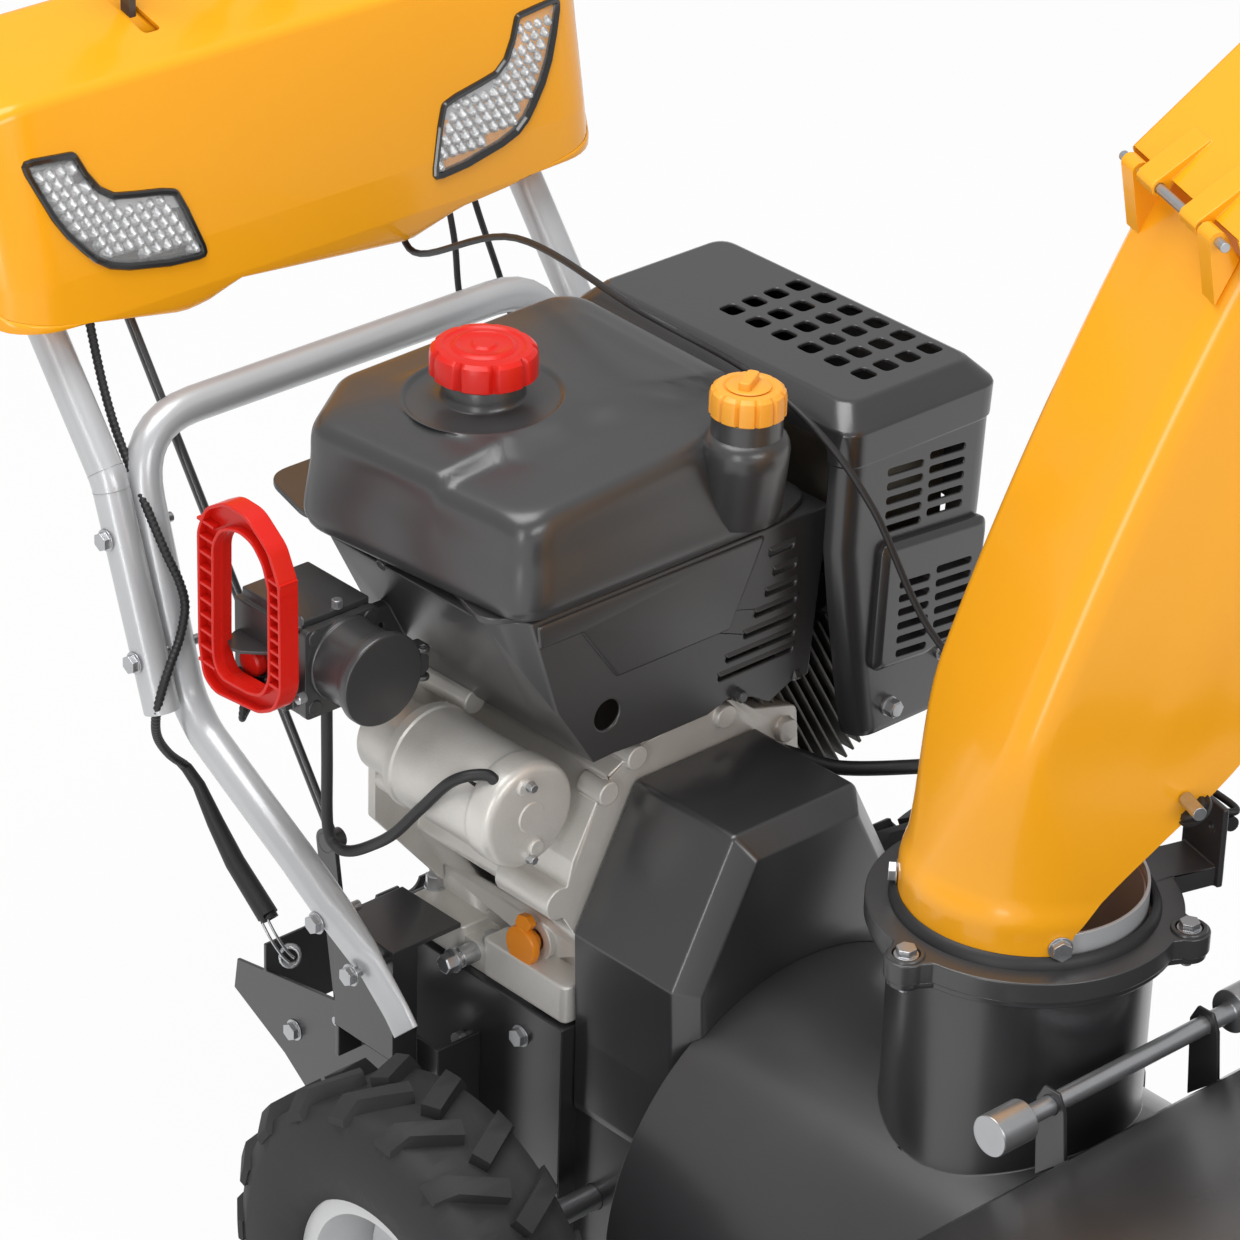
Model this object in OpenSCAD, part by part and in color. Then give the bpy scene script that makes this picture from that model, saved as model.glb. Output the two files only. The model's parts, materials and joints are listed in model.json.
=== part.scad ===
// Two stage snowblower: auger housing, impeller and chute at the front (-Y),
// engine over a friction drive, handles and console at the rear (+Y).
// Layout frame: X = 0 is the middle of the machine, Z = 0 is the floor, and Y is
// counted from near the chute. at_origin() moves the part onto the axle.

/* [Overall] */
// Clearing width over the auger housing's side plates
clearing_w = 680; // [640:5:760]
// Length from the housing's front edge to the ends of the grips
total_len = 1500; // [1460:5:1540]
// Thickness of the housing's steel sheet
sheet = 3; // [2:0.5:4]
// Running gap between pieces that move past each other
run_gap = 0.4; // [0.3:0.05:0.6]

/* [Wheels] */
// Radius of the tyres
wheel_r = 165; // [150:1:170]
// Width of a tyre
tyre_w = 104; // [80:1:110]
// Distance between the middles of the two tyres
track = 560; // [550:1:570]
// Diameter of the axle
axle_d = 20; // [16:1:25]
// Place of the axle behind the chute
axle_y = 320; // [310:1:330]

/* [Augers] */
// Radius of the auger ribbons
auger_r = 148; // [130:1:150]
// Gap between the ribbons and the rolled housing
auger_gap = 12; // [8:1:20]
// Place of the auger shaft
auger_y = -262; // [-275:1:-255]
// Height of the auger shaft
auger_z = 172; // [170:1:180]
// Diameter of the auger shaft
auger_shaft_d = 25; // [20:1:26]
// Width of a ribbon, outer edge to inner edge
ribbon_w = 34; // [25:1:45]
// Number of steps that a ribbon is drawn with, two for each tooth
ribbon_steps = 44; // [24:2:48]
// Height of the housing's front edge
mouth_h = 540; // [500:5:560]

/* [Impeller] */
// Outer radius of the impeller drum
drum_r = 182; // [176:1:182]
// Height of the impeller shaft
drum_z = 197; // [197:1:200]
// Rear face of the drum
drum_back = 228; // [220:1:230]
// Gap between the impeller's tips and the drum
tip_gap = 6; // [4:1:10]
// Number of impeller blades
blades = 4; // [3:1:5]
// Diameter of the impeller shaft
impeller_shaft_d = 20; // [16:1:21]

/* [Chute] */
// Place of the chute's axis
chute_y = 12; // [8:1:16]
// Height of the chute ring's top
ring_top = 531; // [520:1:540]
// Outer radius of the chute ring
ring_r = 110; // [106:1:114]
// Outer radius of the chute's round collar
collar_r = 88; // [84:1:90]
// Angle that the chute is turned to the machine's left
chute_turn = 68; // [0:1:90]
// Height of the chute body over the ring
chute_h = 500; // [450:1:540]
// Half width of the chute's back
chute_half_w = 76; // [70:1:80]
// Depth of the chute's flanks
chute_depth = 178; // [150:1:190]
// Lean of the chute's spine at its foot
chute_lean = 0.24; // [0.1:0.01:0.25]
// How fast the spine curls forward
chute_curl = 0.00025; // [0.0002:0.00001:0.0004]
// Thickness of the chute's sheet
chute_sheet = 2.5; // [2:0.5:3]
// Length of the deflector
deflector_len = 165; // [120:1:200]

/* [Frame] */
// Width of the frame box
frame_w = 250; // [240:1:256]
// Height of the engine deck
deck_z = 307; // [305:1:310]
// Height of the frame's lower edge
frame_z = 78; // [60:1:90]
// Front face of the frame box
frame_y = 342; // [340:1:345]
// Rear face of the frame box
frame_back = 562; // [555:1:575]
// Width over the tail plates
tail_w = 334; // [320:1:340]
// Rear end of the tail plates
tail_back = 676; // [660:1:690]

/* [Engine] */
// Height of the crankshaft
crank_z = 411; // [408:1:414]
// Diameter of the crankshaft's end
crank_d = 25.4; // [20:0.1:26]
// Radius of the engine pulley
crank_pulley_r = 40; // [36:1:44]
// Radius of the auger pulley
auger_pulley_r = 86; // [80:1:88]
// Radius of the drive pulley
drive_pulley_r = 48; // [40:1:50]
// Radius of the starter motor
starter_r = 42; // [38:1:44]
// Radius of the fuel cap
fuel_cap_r = 39; // [34:1:42]
// Radius of the oil cap
oil_cap_r = 27; // [24:1:29]
// Wall of the moulded covers
cover_wall = 3; // [2:0.5:4]

/* [Handles] */
// Diameter of the handle tubes
tube_d = 28; // [25:1:30]
// Wall of the handle tubes
tube_wall = 2; // [1.5:0.5:3]
// Half the distance between the lower handle's legs
leg_x = 205; // [200:1:208]
// Height of the lower handle's crossbar
crossbar_z = 672; // [660:1:680]
// Height of the grips
grip_z = 905; // [890:1:920]
// Diameter of the grips
grip_d = 36; // [33:1:40]
// Half the width of the console
console_half_w = 292; // [285:1:300]

/* [Hidden] */
$fn = 64;

// Places that several pieces share
front_y = axle_y - total_len / 2;
rear_y = axle_y + total_len / 2;
half_w = clearing_w / 2;
hous_r = auger_r + auger_gap;
floor_z = auger_z - hous_r - sheet;
hous_back = auger_y + hous_r + sheet;
shoe_t = 4;
lip = [front_y + 15, floor_z];
knee = [auger_y, floor_z];
heel = [hous_back, auger_z];
back_top = [hous_back, 400];
roof_back = [hous_back - 50, 450];
roof_front = [front_y + 38, mouth_h];
shaft_fit = 0.05;
neck_r = collar_r + 4;
ring_h = 16;
ring_foot = ring_top - ring_h;
ear_angles = [60, 180, 300];
ear_at = ring_r + 5;
ear_r = 15;
bolt_r = 4;
bolt_fit = 0.1;
gearbox_r = 50;
gearbox_w = 78;
impeller_front = auger_y + 22;
pulley_back = drum_back + 24;
belt_w = 13;
drive_z = drum_z + 51;
drive_belt_y = pulley_back + 34;
drive_shaft_d = 17;
disc_y = frame_y + 48;
disc_r = 54;
wheel_face = 56;
hex_y = disc_y + 6 + run_gap + wheel_face;
hex_z = drive_z - 3;
wheel_shift = 0;
chain_x = 96;
big_sprocket_r = 62;
small_sprocket_r = 21;
bay_half = 109;
frame_half = frame_w / 2;
tail_half = tail_w / 2;
engine_y = frame_y + 2;
crankcase_back = 528;
tank_floor = 676;
cable_d = 7;
tool_y = -106;
tool_z = 461;
console_foot = 742;
console_y = 768;

// Basic helpers
function unit(v) = v / norm(v);
function left(v) = [-v.y, v.x] / norm(v);
// The corner b of the outline a, b, c, moved in by g on the left side
function mitre(a, b, c, g) = let (m = left(b - a), n = left(c - b)) b + g * (m + n) / (1 + m * n);
function smooth(t) = let (u = min(1, max(0, t))) u * u * (3 - 2 * u);
function turned(v, a) = [v.x * cos(a) - v.y * sin(a), v.x * sin(a) + v.y * cos(a)];

// The part's origin is on the floor under the middle of the axle
module at_origin() translate([0, -axle_y, 0]) children();
module pair() {
    children();
    mirror([1, 0, 0]) children();
}
// Extrude an outline drawn in Y and Z along X, and one drawn in X and Z along Y
module along_x(x0, x1) translate([x0, 0, 0]) rotate([90, 0, 90]) linear_extrude(x1 - x0) children();
module along_y(y0, y1) translate([0, y1, 0]) rotate([90, 0, 0]) linear_extrude(y1 - y0) children();
module rod_x(x0, x1, d) translate([x0, 0, 0]) rotate([0, 90, 0]) cylinder(h = x1 - x0, d = d);
module rod_y(y0, y1, d) translate([0, y1, 0]) rotate([90, 0, 0]) cylinder(h = y1 - y0, d = d);
module block(x, y, z) translate([x[0], y[0], z[0]]) cube([x[1] - x[0], y[1] - y[0], z[1] - z[0]]);
module round_rect(w, h, r) {
    square([w - 2 * r, h], center = true);
    square([w, h - 2 * r], center = true);
    for (x = [-1, 1], y = [-1, 1]) translate([x * (w / 2 - r), y * (h / 2 - r)]) circle(r);
}
module slot(l, d) {
    square([l - d, d], center = true);
    for (s = [-1, 1]) translate([s * (l - d) / 2, 0]) circle(d / 2);
}
module rod(p, q, d) let (v = q - p)
    translate(p) rotate([0, acos(v.z / norm(v)), atan2(v.y, v.x)]) cylinder(h = norm(v), d = d);
// A hexagon head or nut with its washer, standing on z = 0
module hex_head(d) {
    cylinder(h = 0.15 * d, d = 2.2 * d);
    cylinder(h = 0.8 * d, d = 1.85 * d, $fn = 6);
}
// A mesh through rings of points, each ring with as many points and counter-clockwise seen from where
// the mesh is going. A band's ring goes out along one side of a sheet and back along the other.
module skin(rings, band = false, warped = false)
    let (n = len(rings[0]), m = len(rings), e = (m - 1) * n) polyhedron(
    points = [for (ring = rings) each ring],
    faces = concat(
        band ? [for (k = [0:n / 2 - 2]) each [[k, k + 1, n - 2 - k], [k, n - 2 - k, n - 1 - k]]]
            : [[for (k = [0:n - 1]) k]],
        [for (i = [0:m - 2], k = [0:n - 1]) let (a = i * n + k, b = i * n + (k + 1) % n)
            each warped ? [[a, a + n, b + n], [a, b + n, b]] : [[a, a + n, b + n, b]]],
        band ? [for (k = [0:n / 2 - 2]) each [[e + n - 2 - k, e + k + 1, e + k],
            [e + n - 1 - k, e + n - 2 - k, e + k]]] : [[for (k = [n - 1:-1:0]) e + k]]));

// A bent tube through corner points, with one bend radius; a bend is a little fuller than the straight
bend_swell = 0.2;
bend_lap = 1;
function bend_cut(p, i, r) = let (a = unit(p[i] - p[i - 1]), b = unit(p[i + 1] - p[i]))
    r * tan(acos(a * b) / 2);
module bent_tube(p, d, r) {
    n = len(p);
    for (i = [0:n - 2]) let (v = unit(p[i + 1] - p[i]),
        s = i == 0 ? p[0] : p[i] + v * (bend_cut(p, i, r) - bend_lap),
        e = i == n - 2 ? p[n - 1] : p[i + 1] - v * (bend_cut(p, i + 1, r) - bend_lap))
        rod(s, e, d);
    for (i = [1:n - 2]) let (a = unit(p[i] - p[i - 1]), b = unit(p[i + 1] - p[i]),
        s = p[i] - a * bend_cut(p, i, r), m = unit(b - (a * b) * a), c = s + r * m, k = cross(-m, a))
        multmatrix([[-m.x, a.x, k.x, c.x], [-m.y, a.y, k.y, c.y], [-m.z, a.z, k.z, c.z], [0, 0, 0, 1]])
            rotate_extrude(angle = acos(a * b)) translate([r, 0]) circle(d = d + bend_swell);
}
// A cable on a smooth curve through hand-placed points
function spline(p, k) = [for (i = [0:len(p) - 2], j = [0:k - 1])
        let (t = j / k, a = p[max(0, i - 1)], b = p[i], c = p[i + 1], d = p[min(len(p) - 1, i + 2)])
        0.5 * (2 * b + (c - a) * t + (2 * a - 5 * b + 4 * c - d) * t * t
            + (3 * b - a - 3 * c + d) * t * t * t)];
function route(p, k) = concat(spline(p, k), [p[len(p) - 1]]);
module cable(points, d, k = 3) {
    c = route(points, k);
    n = len(c);
    t = [for (i = [0:n - 1]) unit(c[min(n - 1, i + 1)] - c[max(0, i - 1)])];
    first = unit(cross(t[0], abs(t[0].x) < 0.8 ? [1, 0, 0] : [0, 0, 1]));
    side = [for (i = 0, s = first; i < n; i = i + 1, s = i < n ? unit(s - (s * t[i]) * t[i]) : s) s];
    skin([for (i = [0:n - 1]) [for (a = [0:45:315])
        c[i] + d / 2 * (cos(a) * side[i] + sin(a) * cross(t[i], side[i]))]]);
}

// ---- Auger housing ----
// Side view of the rolled housing, inset by g
module housing_outline(g) {
    polygon([lip - [g > 0 ? 100 : 0, -g], knee + [0, g], heel - [g, 0], mitre(heel, back_top, roof_back, g),
        mitre(back_top, roof_back, roof_front, g),
        roof_front + g * left(roof_front - roof_back) + (g > 0 ? 100 : 0) * unit(roof_front - roof_back)]);
    intersection() {
        translate([auger_y, auger_z]) circle(hous_r + sheet - g, $fn = 96);
        translate([auger_y, floor_z + g]) square([hous_r + sheet - g, hous_r + sheet - g]);
    }
}
module side_plate_outline() {
    housing_outline(0);
    polygon([[front_y + 12, floor_z], knee, [auger_y, 300], roof_front, [front_y, 100], [front_y, 30]]);
}
module auger_housing() color("#2e2e30") difference() {
    union() {
        difference() {
            along_x(-half_w + sheet, half_w - sheet) housing_outline(0);
            along_x(-half_w, half_w) housing_outline(sheet);
        }
        pair() along_x(half_w - sheet, half_w) side_plate_outline();
        translate([0, roof_front.x, roof_front.y]) rod_x(-half_w, half_w, 10);
        for (x = [-92, 60]) along_x(x, x + sheet) difference() {
            polygon([[tool_y - 17, 423], [tool_y + 9, 400], [tool_y + 13, tool_z], [tool_y + 7, tool_z + 12],
                [tool_y - 7, tool_z + 12], [tool_y - 13, tool_z]]);
            translate([tool_y, tool_z]) circle(7 + bolt_fit);
        }
    }
    translate([0, 0, drum_z]) rod_y(hous_back - 150, hous_back + 1, 2 * (drum_r - sheet), $fn = 96);
    translate([0, auger_y, auger_z]) rod_x(-half_w - 1, half_w + 1, auger_shaft_d + 8);
}
module scraper_bar() color("#3a3a3c") pair()
    block([0, half_w - 8], [front_y + 3, front_y + 60], [floor_z - 5, floor_z]);
// A skid shoe is a bent plate: it bolts to the side plate and its sole runs under the housing
module shoe_outline() difference() {
    polygon([[auger_y - 20, 0], [auger_y + 150, 0], [auger_y + 185, 28], [auger_y + 185, 74],
        [auger_y - 20, 74], [auger_y - 55, 28]]);
    for (y = [30, 120]) translate([auger_y + y, 42]) rotate(90) slot(34, 9);
}
module skid_shoes() color("#232325") pair() {
    along_x(half_w, half_w + shoe_t) shoe_outline();
    block([half_w - 26, half_w + shoe_t], [auger_y - 20, auger_y + 150], [0, 5]);
}
module bearing_x(x, s) translate([x, auger_y, auger_z]) rotate([0, s * 90, 0]) difference() {
    union() {
        cylinder(h = 4, r = 36);
        cylinder(h = 14, r = 22);
    }
    translate([0, 0, -1]) cylinder(h = 16, d = auger_shaft_d + 2 * shaft_fit);
}
module shaft_bearings() color("#8d8f92") {
    bearing_x(half_w, 1);
    bearing_x(-half_w, -1);
    translate([0, drum_back, drum_z]) rotate([-90, 0, 0]) difference() {
        union() {
            cylinder(h = 5, r = 40);
            cylinder(h = 16, r = 24);
        }
        translate([0, 0, -1]) cylinder(h = 18, d = impeller_shaft_d + 2 * shaft_fit);
    }
}

// ---- Augers and their gearbox ----
module auger_gearbox() color("#3c3d40") difference() {
    union() {
        translate([0, auger_y, auger_z]) rod_x(-gearbox_w / 2, gearbox_w / 2, 2 * gearbox_r);
        translate([0, auger_y, auger_z]) rod_x(-gearbox_w / 2 - 12, gearbox_w / 2 + 12, 46);
        translate([0, auger_y, auger_z]) rod_x(-5, 5, 2 * gearbox_r + 14);
        translate([0, 0, drum_z]) rod_y(auger_y, auger_y + gearbox_r + 24, 50);
        for (a = [0:60:300]) translate([0, auger_y, auger_z]) rotate([a, 0, 0])
            translate([0, 0, gearbox_r]) rod_x(-11, 11, 15);
    }
    translate([0, auger_y, auger_z]) rod_x(-80, 80, auger_shaft_d + 2 * shaft_fit);
    translate([0, 0, drum_z]) rod_y(impeller_front, auger_y + 120, impeller_shaft_d + 2 * shaft_fit);
}
module auger_shaft() color("#a4a6a8") translate([0, auger_y, auger_z])
    rod_x(-half_w - 18, half_w + 18, auger_shaft_d);
// One ribbon winds half a turn or more from the gearbox to the side plate, with a toothed edge
ribbon_x0 = gearbox_w / 2 + 22;
ribbon_x1 = half_w - sheet - 12;
ribbon_turn = 300;
ribbon_t = 5;
function tooth(i) = i % 2 == 0 ? 0 : 7;
function ribbon_ring(i, start) = let (f = i / ribbon_steps, a = start + f * ribbon_turn,
        x = ribbon_x0 + ribbon_t + f * (ribbon_x1 - ribbon_x0 - 2 * ribbon_t), r = auger_r - tooth(i))
    [for (c = [[auger_r - ribbon_w, 1], [r, 1], [r, -1], [auger_r - ribbon_w, -1]])
        [x + c[1] * ribbon_t / 2, auger_y + c[0] * cos(a), auger_z + c[0] * sin(a)]];
module auger_rake() {
    for (start = [0, 180]) {
        skin([for (i = [0:ribbon_steps]) ribbon_ring(i, start)], warped = true);
        for (f = [0.02, 0.5, 0.98]) let (a = start + f * ribbon_turn,
            x = ribbon_x0 + ribbon_t + f * (ribbon_x1 - ribbon_x0 - 2 * ribbon_t))
            translate([x, auger_y, auger_z]) rotate([a, 0, 0]) translate([-3, 14.5, -8])
                cube([6, auger_r - ribbon_w / 2 - 14.5, 16]);
    }
    difference() {
        translate([0, auger_y, auger_z]) rod_x(ribbon_x0 - 4, ribbon_x1 + 4, auger_shaft_d + 10);
        translate([0, auger_y, auger_z]) rod_x(ribbon_x0 - 5, ribbon_x1 + 5, auger_shaft_d);
    }
}
module auger_rakes() color("#d98a12") pair() auger_rake();

// ---- Impeller and its drum ----
module ear_outline(grow) {
    circle(ring_r + grow);
    for (a = ear_angles) rotate(a) {
        translate([ear_at, 0]) circle(ear_r + grow);
        polygon([[60, -50], [ear_at, -ear_r - grow], [ear_at, ear_r + grow], [60, 50]]);
    }
}
module ear_holes() for (a = ear_angles) rotate(a) translate([ear_at, 0]) circle(bolt_r + bolt_fit);
module impeller_drum() color("#2e2e30") difference() {
    union() {
        translate([0, 0, drum_z]) rod_y(hous_back - 120, drum_back, 2 * drum_r, $fn = 96);
        translate([0, chute_y, drum_z]) cylinder(h = ring_foot - 5 - drum_z, r = neck_r);
        translate([0, chute_y, ring_foot - 5]) linear_extrude(5) difference() {
            ear_outline(-2);
            ear_holes();
        }
    }
    translate([0, 0, drum_z]) rod_y(hous_back - 160, drum_back - sheet, 2 * (drum_r - sheet), $fn = 96);
    translate([0, chute_y, drum_z]) cylinder(h = ring_top - drum_z, r = neck_r - sheet);
    along_x(-half_w, half_w) housing_outline(0);
    translate([0, 0, drum_z]) rod_y(drum_back - 10, drum_back + 1, impeller_shaft_d + 8);
}
module impeller_shaft() color("#a4a6a8") translate([0, 0, drum_z])
    rod_y(impeller_front + 4, pulley_back + belt_w + 9, impeller_shaft_d);
impeller_y0 = -66;
impeller_y1 = 148;
blade_r = drum_r - sheet - tip_gap;
// A blade leans back from the hub and its tip turns forward, as a bent plate does
module blade_outline() polygon([[14, -2.5], [blade_r - 40, -2.5], [blade_r - 8, 14], [blade_r - 9.5, 19],
    [blade_r - 42, 2.5], [14, 2.5]]);
module impeller() color("#d98a12") translate([0, 0, drum_z]) difference() {
    union() {
        along_y(impeller_y0, impeller_y1) {
            circle(20);
            for (i = [0:blades - 1]) rotate(i * 360 / blades) blade_outline();
        }
        along_y(impeller_y1 - 4, impeller_y1) circle(blade_r - 34);
    }
    rod_y(impeller_y0 - 1, impeller_y1 + 1, impeller_shaft_d);
}

// ---- Belts and pulleys ----
// One V-groove pulley on the Y axis, from y = 0 to its width
module pulley_profile(r, w) polygon([[0, 0], [r, 0], [r, 1.5], [r - 9, 4], [r - 9, w - 4], [r, w - 1.5],
    [r, w], [0, w]]);
module pulley(r, w, bore) rotate([-90, 0, 0]) difference() {
    rotate_extrude() pulley_profile(r, w);
    translate([0, 0, -1]) cylinder(h = w + 2, d = bore);
}
module auger_pulley() color("#77797c") translate([0, pulley_back, drum_z])
    pulley(auger_pulley_r, belt_w + 4, impeller_shaft_d);
module crank_pulley() color("#77797c") {
    translate([0, pulley_back, crank_z]) pulley(crank_pulley_r, belt_w + 4, crank_d - 6);
    translate([0, drive_belt_y, crank_z]) pulley(crank_pulley_r - 8, belt_w + 4, crank_d - 6);
    translate([0, 0, crank_z]) rod_y(pulley_back - 6, engine_y + 70, crank_d);
}
// A belt wraps both pulleys; its flat sides are the tangents of the two circles
module belt_outline(r1, z1, r2, z2) {
    s = asin((r2 - r1) / (z1 - z2));
    translate([0, z1]) circle(r1);
    translate([0, z2]) circle(r2);
    polygon([[-r1 * cos(s), z1 + r1 * sin(s)], [r1 * cos(s), z1 + r1 * sin(s)],
        [r2 * cos(s), z2 + r2 * sin(s)], [-r2 * cos(s), z2 + r2 * sin(s)]]);
}
module belt(y, r1, z1, r2, z2) along_y(y + 4.5, y + belt_w - 0.5) difference() {
    belt_outline(r1 - 1, z1, r2 - 1, z2);
    belt_outline(r1 - 8.5, z1, r2 - 8.5, z2);
}
module v_belts() color("#1c1c1e") {
    belt(pulley_back, crank_pulley_r, crank_z, auger_pulley_r, drum_z);
    belt(drive_belt_y, crank_pulley_r - 8, crank_z, drive_pulley_r, drive_z);
}

// ---- Friction drive ----
module drive_disc() color("#a9abad") translate([0, 0, drive_z]) {
    rod_y(drive_belt_y - 2, disc_y, drive_shaft_d);
    difference() {
        translate([0, drive_belt_y, 0]) pulley(drive_pulley_r, belt_w + 4, 4);
        rod_y(drive_belt_y - 1, drive_belt_y + belt_w + 6, drive_shaft_d - 1);
    }
    rod_y(disc_y - 14, disc_y, 40);
    rod_y(disc_y, disc_y + 6, 2 * disc_r);
}
module friction_wheel() color("#2a2a2c") translate([wheel_shift, hex_y, hex_z]) difference() {
    union() {
        rod_x(-7, 7, 2 * wheel_face);
        rod_x(-16, 16, 44);
    }
    rod_x(-17, 17, 19, $fn = 6);
    for (x = [-8, 5]) difference() {
        rod_x(x, x + 3, 2 * wheel_face - 16);
        rod_x(x - 1, x + 4, 56);
    }
}
hex_half = frame_half - sheet - 1;
module hex_shaft() color("#a4a6a8") translate([0, hex_y, hex_z]) {
    rod_x(-hex_half, hex_half, 18, $fn = 6);
    rod_x(chain_x - 4, chain_x + 4, 2 * small_sprocket_r);
    pair() rod_x(hex_half, frame_half + 6, 14);
}
// The chain's loop lies on both sprockets: it is drawn upright, then turned toward the hexagon shaft
module drive_chain() color("#8a8c8f") let (v = [hex_y - axle_y, hex_z - wheel_r])
    along_x(chain_x - 3, chain_x + 3) translate([axle_y, wheel_r]) rotate(atan2(v.y, v.x) - 90) difference() {
        belt_outline(small_sprocket_r + 5, norm(v), big_sprocket_r + 5, 0);
        belt_outline(small_sprocket_r + run_gap, norm(v), big_sprocket_r + run_gap, 0);
    }
module axle() color("#a4a6a8") translate([0, axle_y, wheel_r]) {
    rod_x(-track / 2 - tyre_w / 2 + 4, track / 2 + tyre_w / 2 - 4, axle_d, $fn = 96);
    rod_x(chain_x - 4, chain_x + 4, 2 * big_sprocket_r);
}

// ---- Frame ----
module chassis_shell() color("#2c2c2e") difference() {
    union() {
        pair() block([frame_half - sheet, frame_half], [frame_y, frame_back], [frame_z, deck_z]);
        block([-frame_half, frame_half], [frame_y, frame_back], [deck_z - sheet, deck_z]);
        block([-frame_half, frame_half], [frame_back - sheet, frame_back], [frame_z, deck_z]);
        block([-frame_half, frame_half], [frame_y, frame_y + 4], [frame_z, deck_z]);
        pair() block([bay_half - sheet, bay_half], [drum_back, frame_y + 1], [frame_z, 262]);
    }
    translate([0, 0, drive_z]) rod_y(frame_y - 1, frame_y + 5, drive_shaft_d + 2 * shaft_fit);
    block([chain_x - 8, chain_x + 8], [frame_y - 5, frame_y + 5], [frame_z + 12, 262]);
    translate([0, axle_y, wheel_r]) rod_x(-frame_half - 1, frame_half + 1, axle_d + 2 * shaft_fit);
    translate([0, hex_y, hex_z]) rod_x(-frame_half - 1, frame_half + 1, 14 + 2 * shaft_fit);
}
module belly_plate() color("#2c2c2e") {
    block([-frame_half, frame_half], [frame_y, frame_back], [frame_z - sheet, frame_z]);
    block([-bay_half, bay_half], [drum_back + 1, frame_y], [frame_z - sheet, frame_z]);
}
tail_foot = 432;
module tail_outline() difference() {
    polygon([[tail_foot, 120], [tail_foot, 262], [tail_foot + 36, 262], [tail_back - 4, 226],
        [tail_back, 198], [tail_back - 62, 168], [tail_back - 130, 120]]);
    translate([492, 233]) circle(7);
}
// The rear cross plate has a scalloped upper edge, where the rods pass
module cross_outline() difference() {
    translate([-tail_half, 186]) square([tail_w, 70]);
    for (x = [-110:44:110]) translate([x, 258]) circle(11);
}
module tail_frame() color("#2c2c2e") difference() {
    union() {
        pair() {
            along_x(tail_half - 3, tail_half) tail_outline();
            block([frame_half, tail_half], [tail_foot, tail_foot + 3], [120, 262]);
            handle_bracket();
        }
        along_y(tail_back - 40, tail_back - 37) cross_outline();
    }
    bracket_bolts(8.2);
    translate([0, 545, 234]) rod_x(-tail_half - 1, -tail_half + 4, 8.2);
}
// The bracket stands off the tail plate and carries the lower handle's leg
module handle_bracket() {
    web = leg_x - tube_d / 2;
    block([web - 4, web], [456, 524], [250, 346]);
    for (y = [456, 520]) block([tail_half, web - 1], [y, y + 4], [222, 346]);
    block([frame_half, web - 1], [456, 524], [342, 346]);
}

// ---- Belt cover: a bevelled hood over both pulleys, cut to sit on the drum ----
cover_y = 222;
cover_bevel = 15;
module hood_outline(g) polygon([[-60 + g, 497 - g], [-116 + g, 388], [-bay_half - 3.3 + g, 300],
    [-bay_half - 3.3 + g, 236], [bay_half + 3.3 - g, 236], [bay_half + 3.3 - g, 300], [116 - g, 388],
    [60 - g, 497 - g]]);
module hood(g) hull() {
    along_y(cover_y + g, cover_y + g + 1) hood_outline(cover_bevel + g);
    along_y(cover_y + cover_bevel + g, engine_y - 3 + (g > 0 ? 5 : 0)) hood_outline(g);
}
module belt_cover() color("#333335") difference() {
    hood(0);
    hood(cover_wall);
    block([-bay_half - run_gap, bay_half + run_gap], [cover_y - 1, engine_y], [200, 262 + run_gap]);
    translate([0, 0, drum_z]) rod_y(cover_y - 40, drum_back + run_gap, 2 * (drum_r + run_gap), $fn = 96);
    block([-bay_half, bay_half], [drum_back, engine_y], [200, 300]);
}

// ---- Wheels ----
rim_r = 76;
module rim_outline() polygon([[axle_d / 2, -40], [22, -40], [22, -6], [58, -12], [rim_r - 8, -tyre_w / 2 + 12],
    [rim_r + 8, -tyre_w / 2 + 12], [rim_r + 8, -tyre_w / 2 + 15], [rim_r - 3, -tyre_w / 2 + 15],
    [rim_r - 3, tyre_w / 2 - 15], [rim_r + 8, tyre_w / 2 - 15], [rim_r + 8, tyre_w / 2 - 12],
    [rim_r - 6, tyre_w / 2 - 12], [rim_r - 6, -tyre_w / 2 + 16], [60, -7], [22, -1], [22, 40], [axle_d / 2, 40]]);
module wheel_rims() color("#d8d8d6") pair() translate([track / 2, axle_y, wheel_r]) rotate([0, 90, 0])
    rotate_extrude($fn = 96) rim_outline();
module tyre_outline() polygon([[rim_r - 3, -tyre_w / 2 + 15], [rim_r + 8, -tyre_w / 2 + 15],
    [rim_r + 8, -tyre_w / 2 + 6], [rim_r + 30, -tyre_w / 2], [wheel_r - 30, -tyre_w / 2 + 1],
    [wheel_r - 12, -tyre_w / 2 + 12], [wheel_r - 10, 0], [wheel_r - 12, tyre_w / 2 - 12],
    [wheel_r - 30, tyre_w / 2 - 1], [rim_r + 30, tyre_w / 2], [rim_r + 8, tyre_w / 2 - 6],
    [rim_r + 8, tyre_w / 2 - 15], [rim_r - 3, tyre_w / 2 - 15]]);
lugs = 18;
module tyre() {
    rotate_extrude($fn = 96) tyre_outline();
    intersection() {
        rotate_extrude($fn = 96) polygon([[wheel_r - 20, -tyre_w / 2 + 5], [wheel_r - 14, -tyre_w / 2 + 5],
            [wheel_r, -tyre_w / 2 + 16], [wheel_r, tyre_w / 2 - 16], [wheel_r - 14, tyre_w / 2 - 5],
            [wheel_r - 20, tyre_w / 2 - 5]]);
        for (i = [0:lugs - 1], s = [-1, 1]) rotate(i * 360 / lugs + (s > 0 ? 180 / lugs : 0))
            translate([wheel_r - 6, 0, s * tyre_w / 4]) rotate([s * 28, 0, 0])
                cube([30, 15, tyre_w / 2 + 14], center = true);
    }
}
module tyres() color("#202022") pair() translate([track / 2, axle_y, wheel_r]) rotate([0, 90, 0]) tyre();

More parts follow.
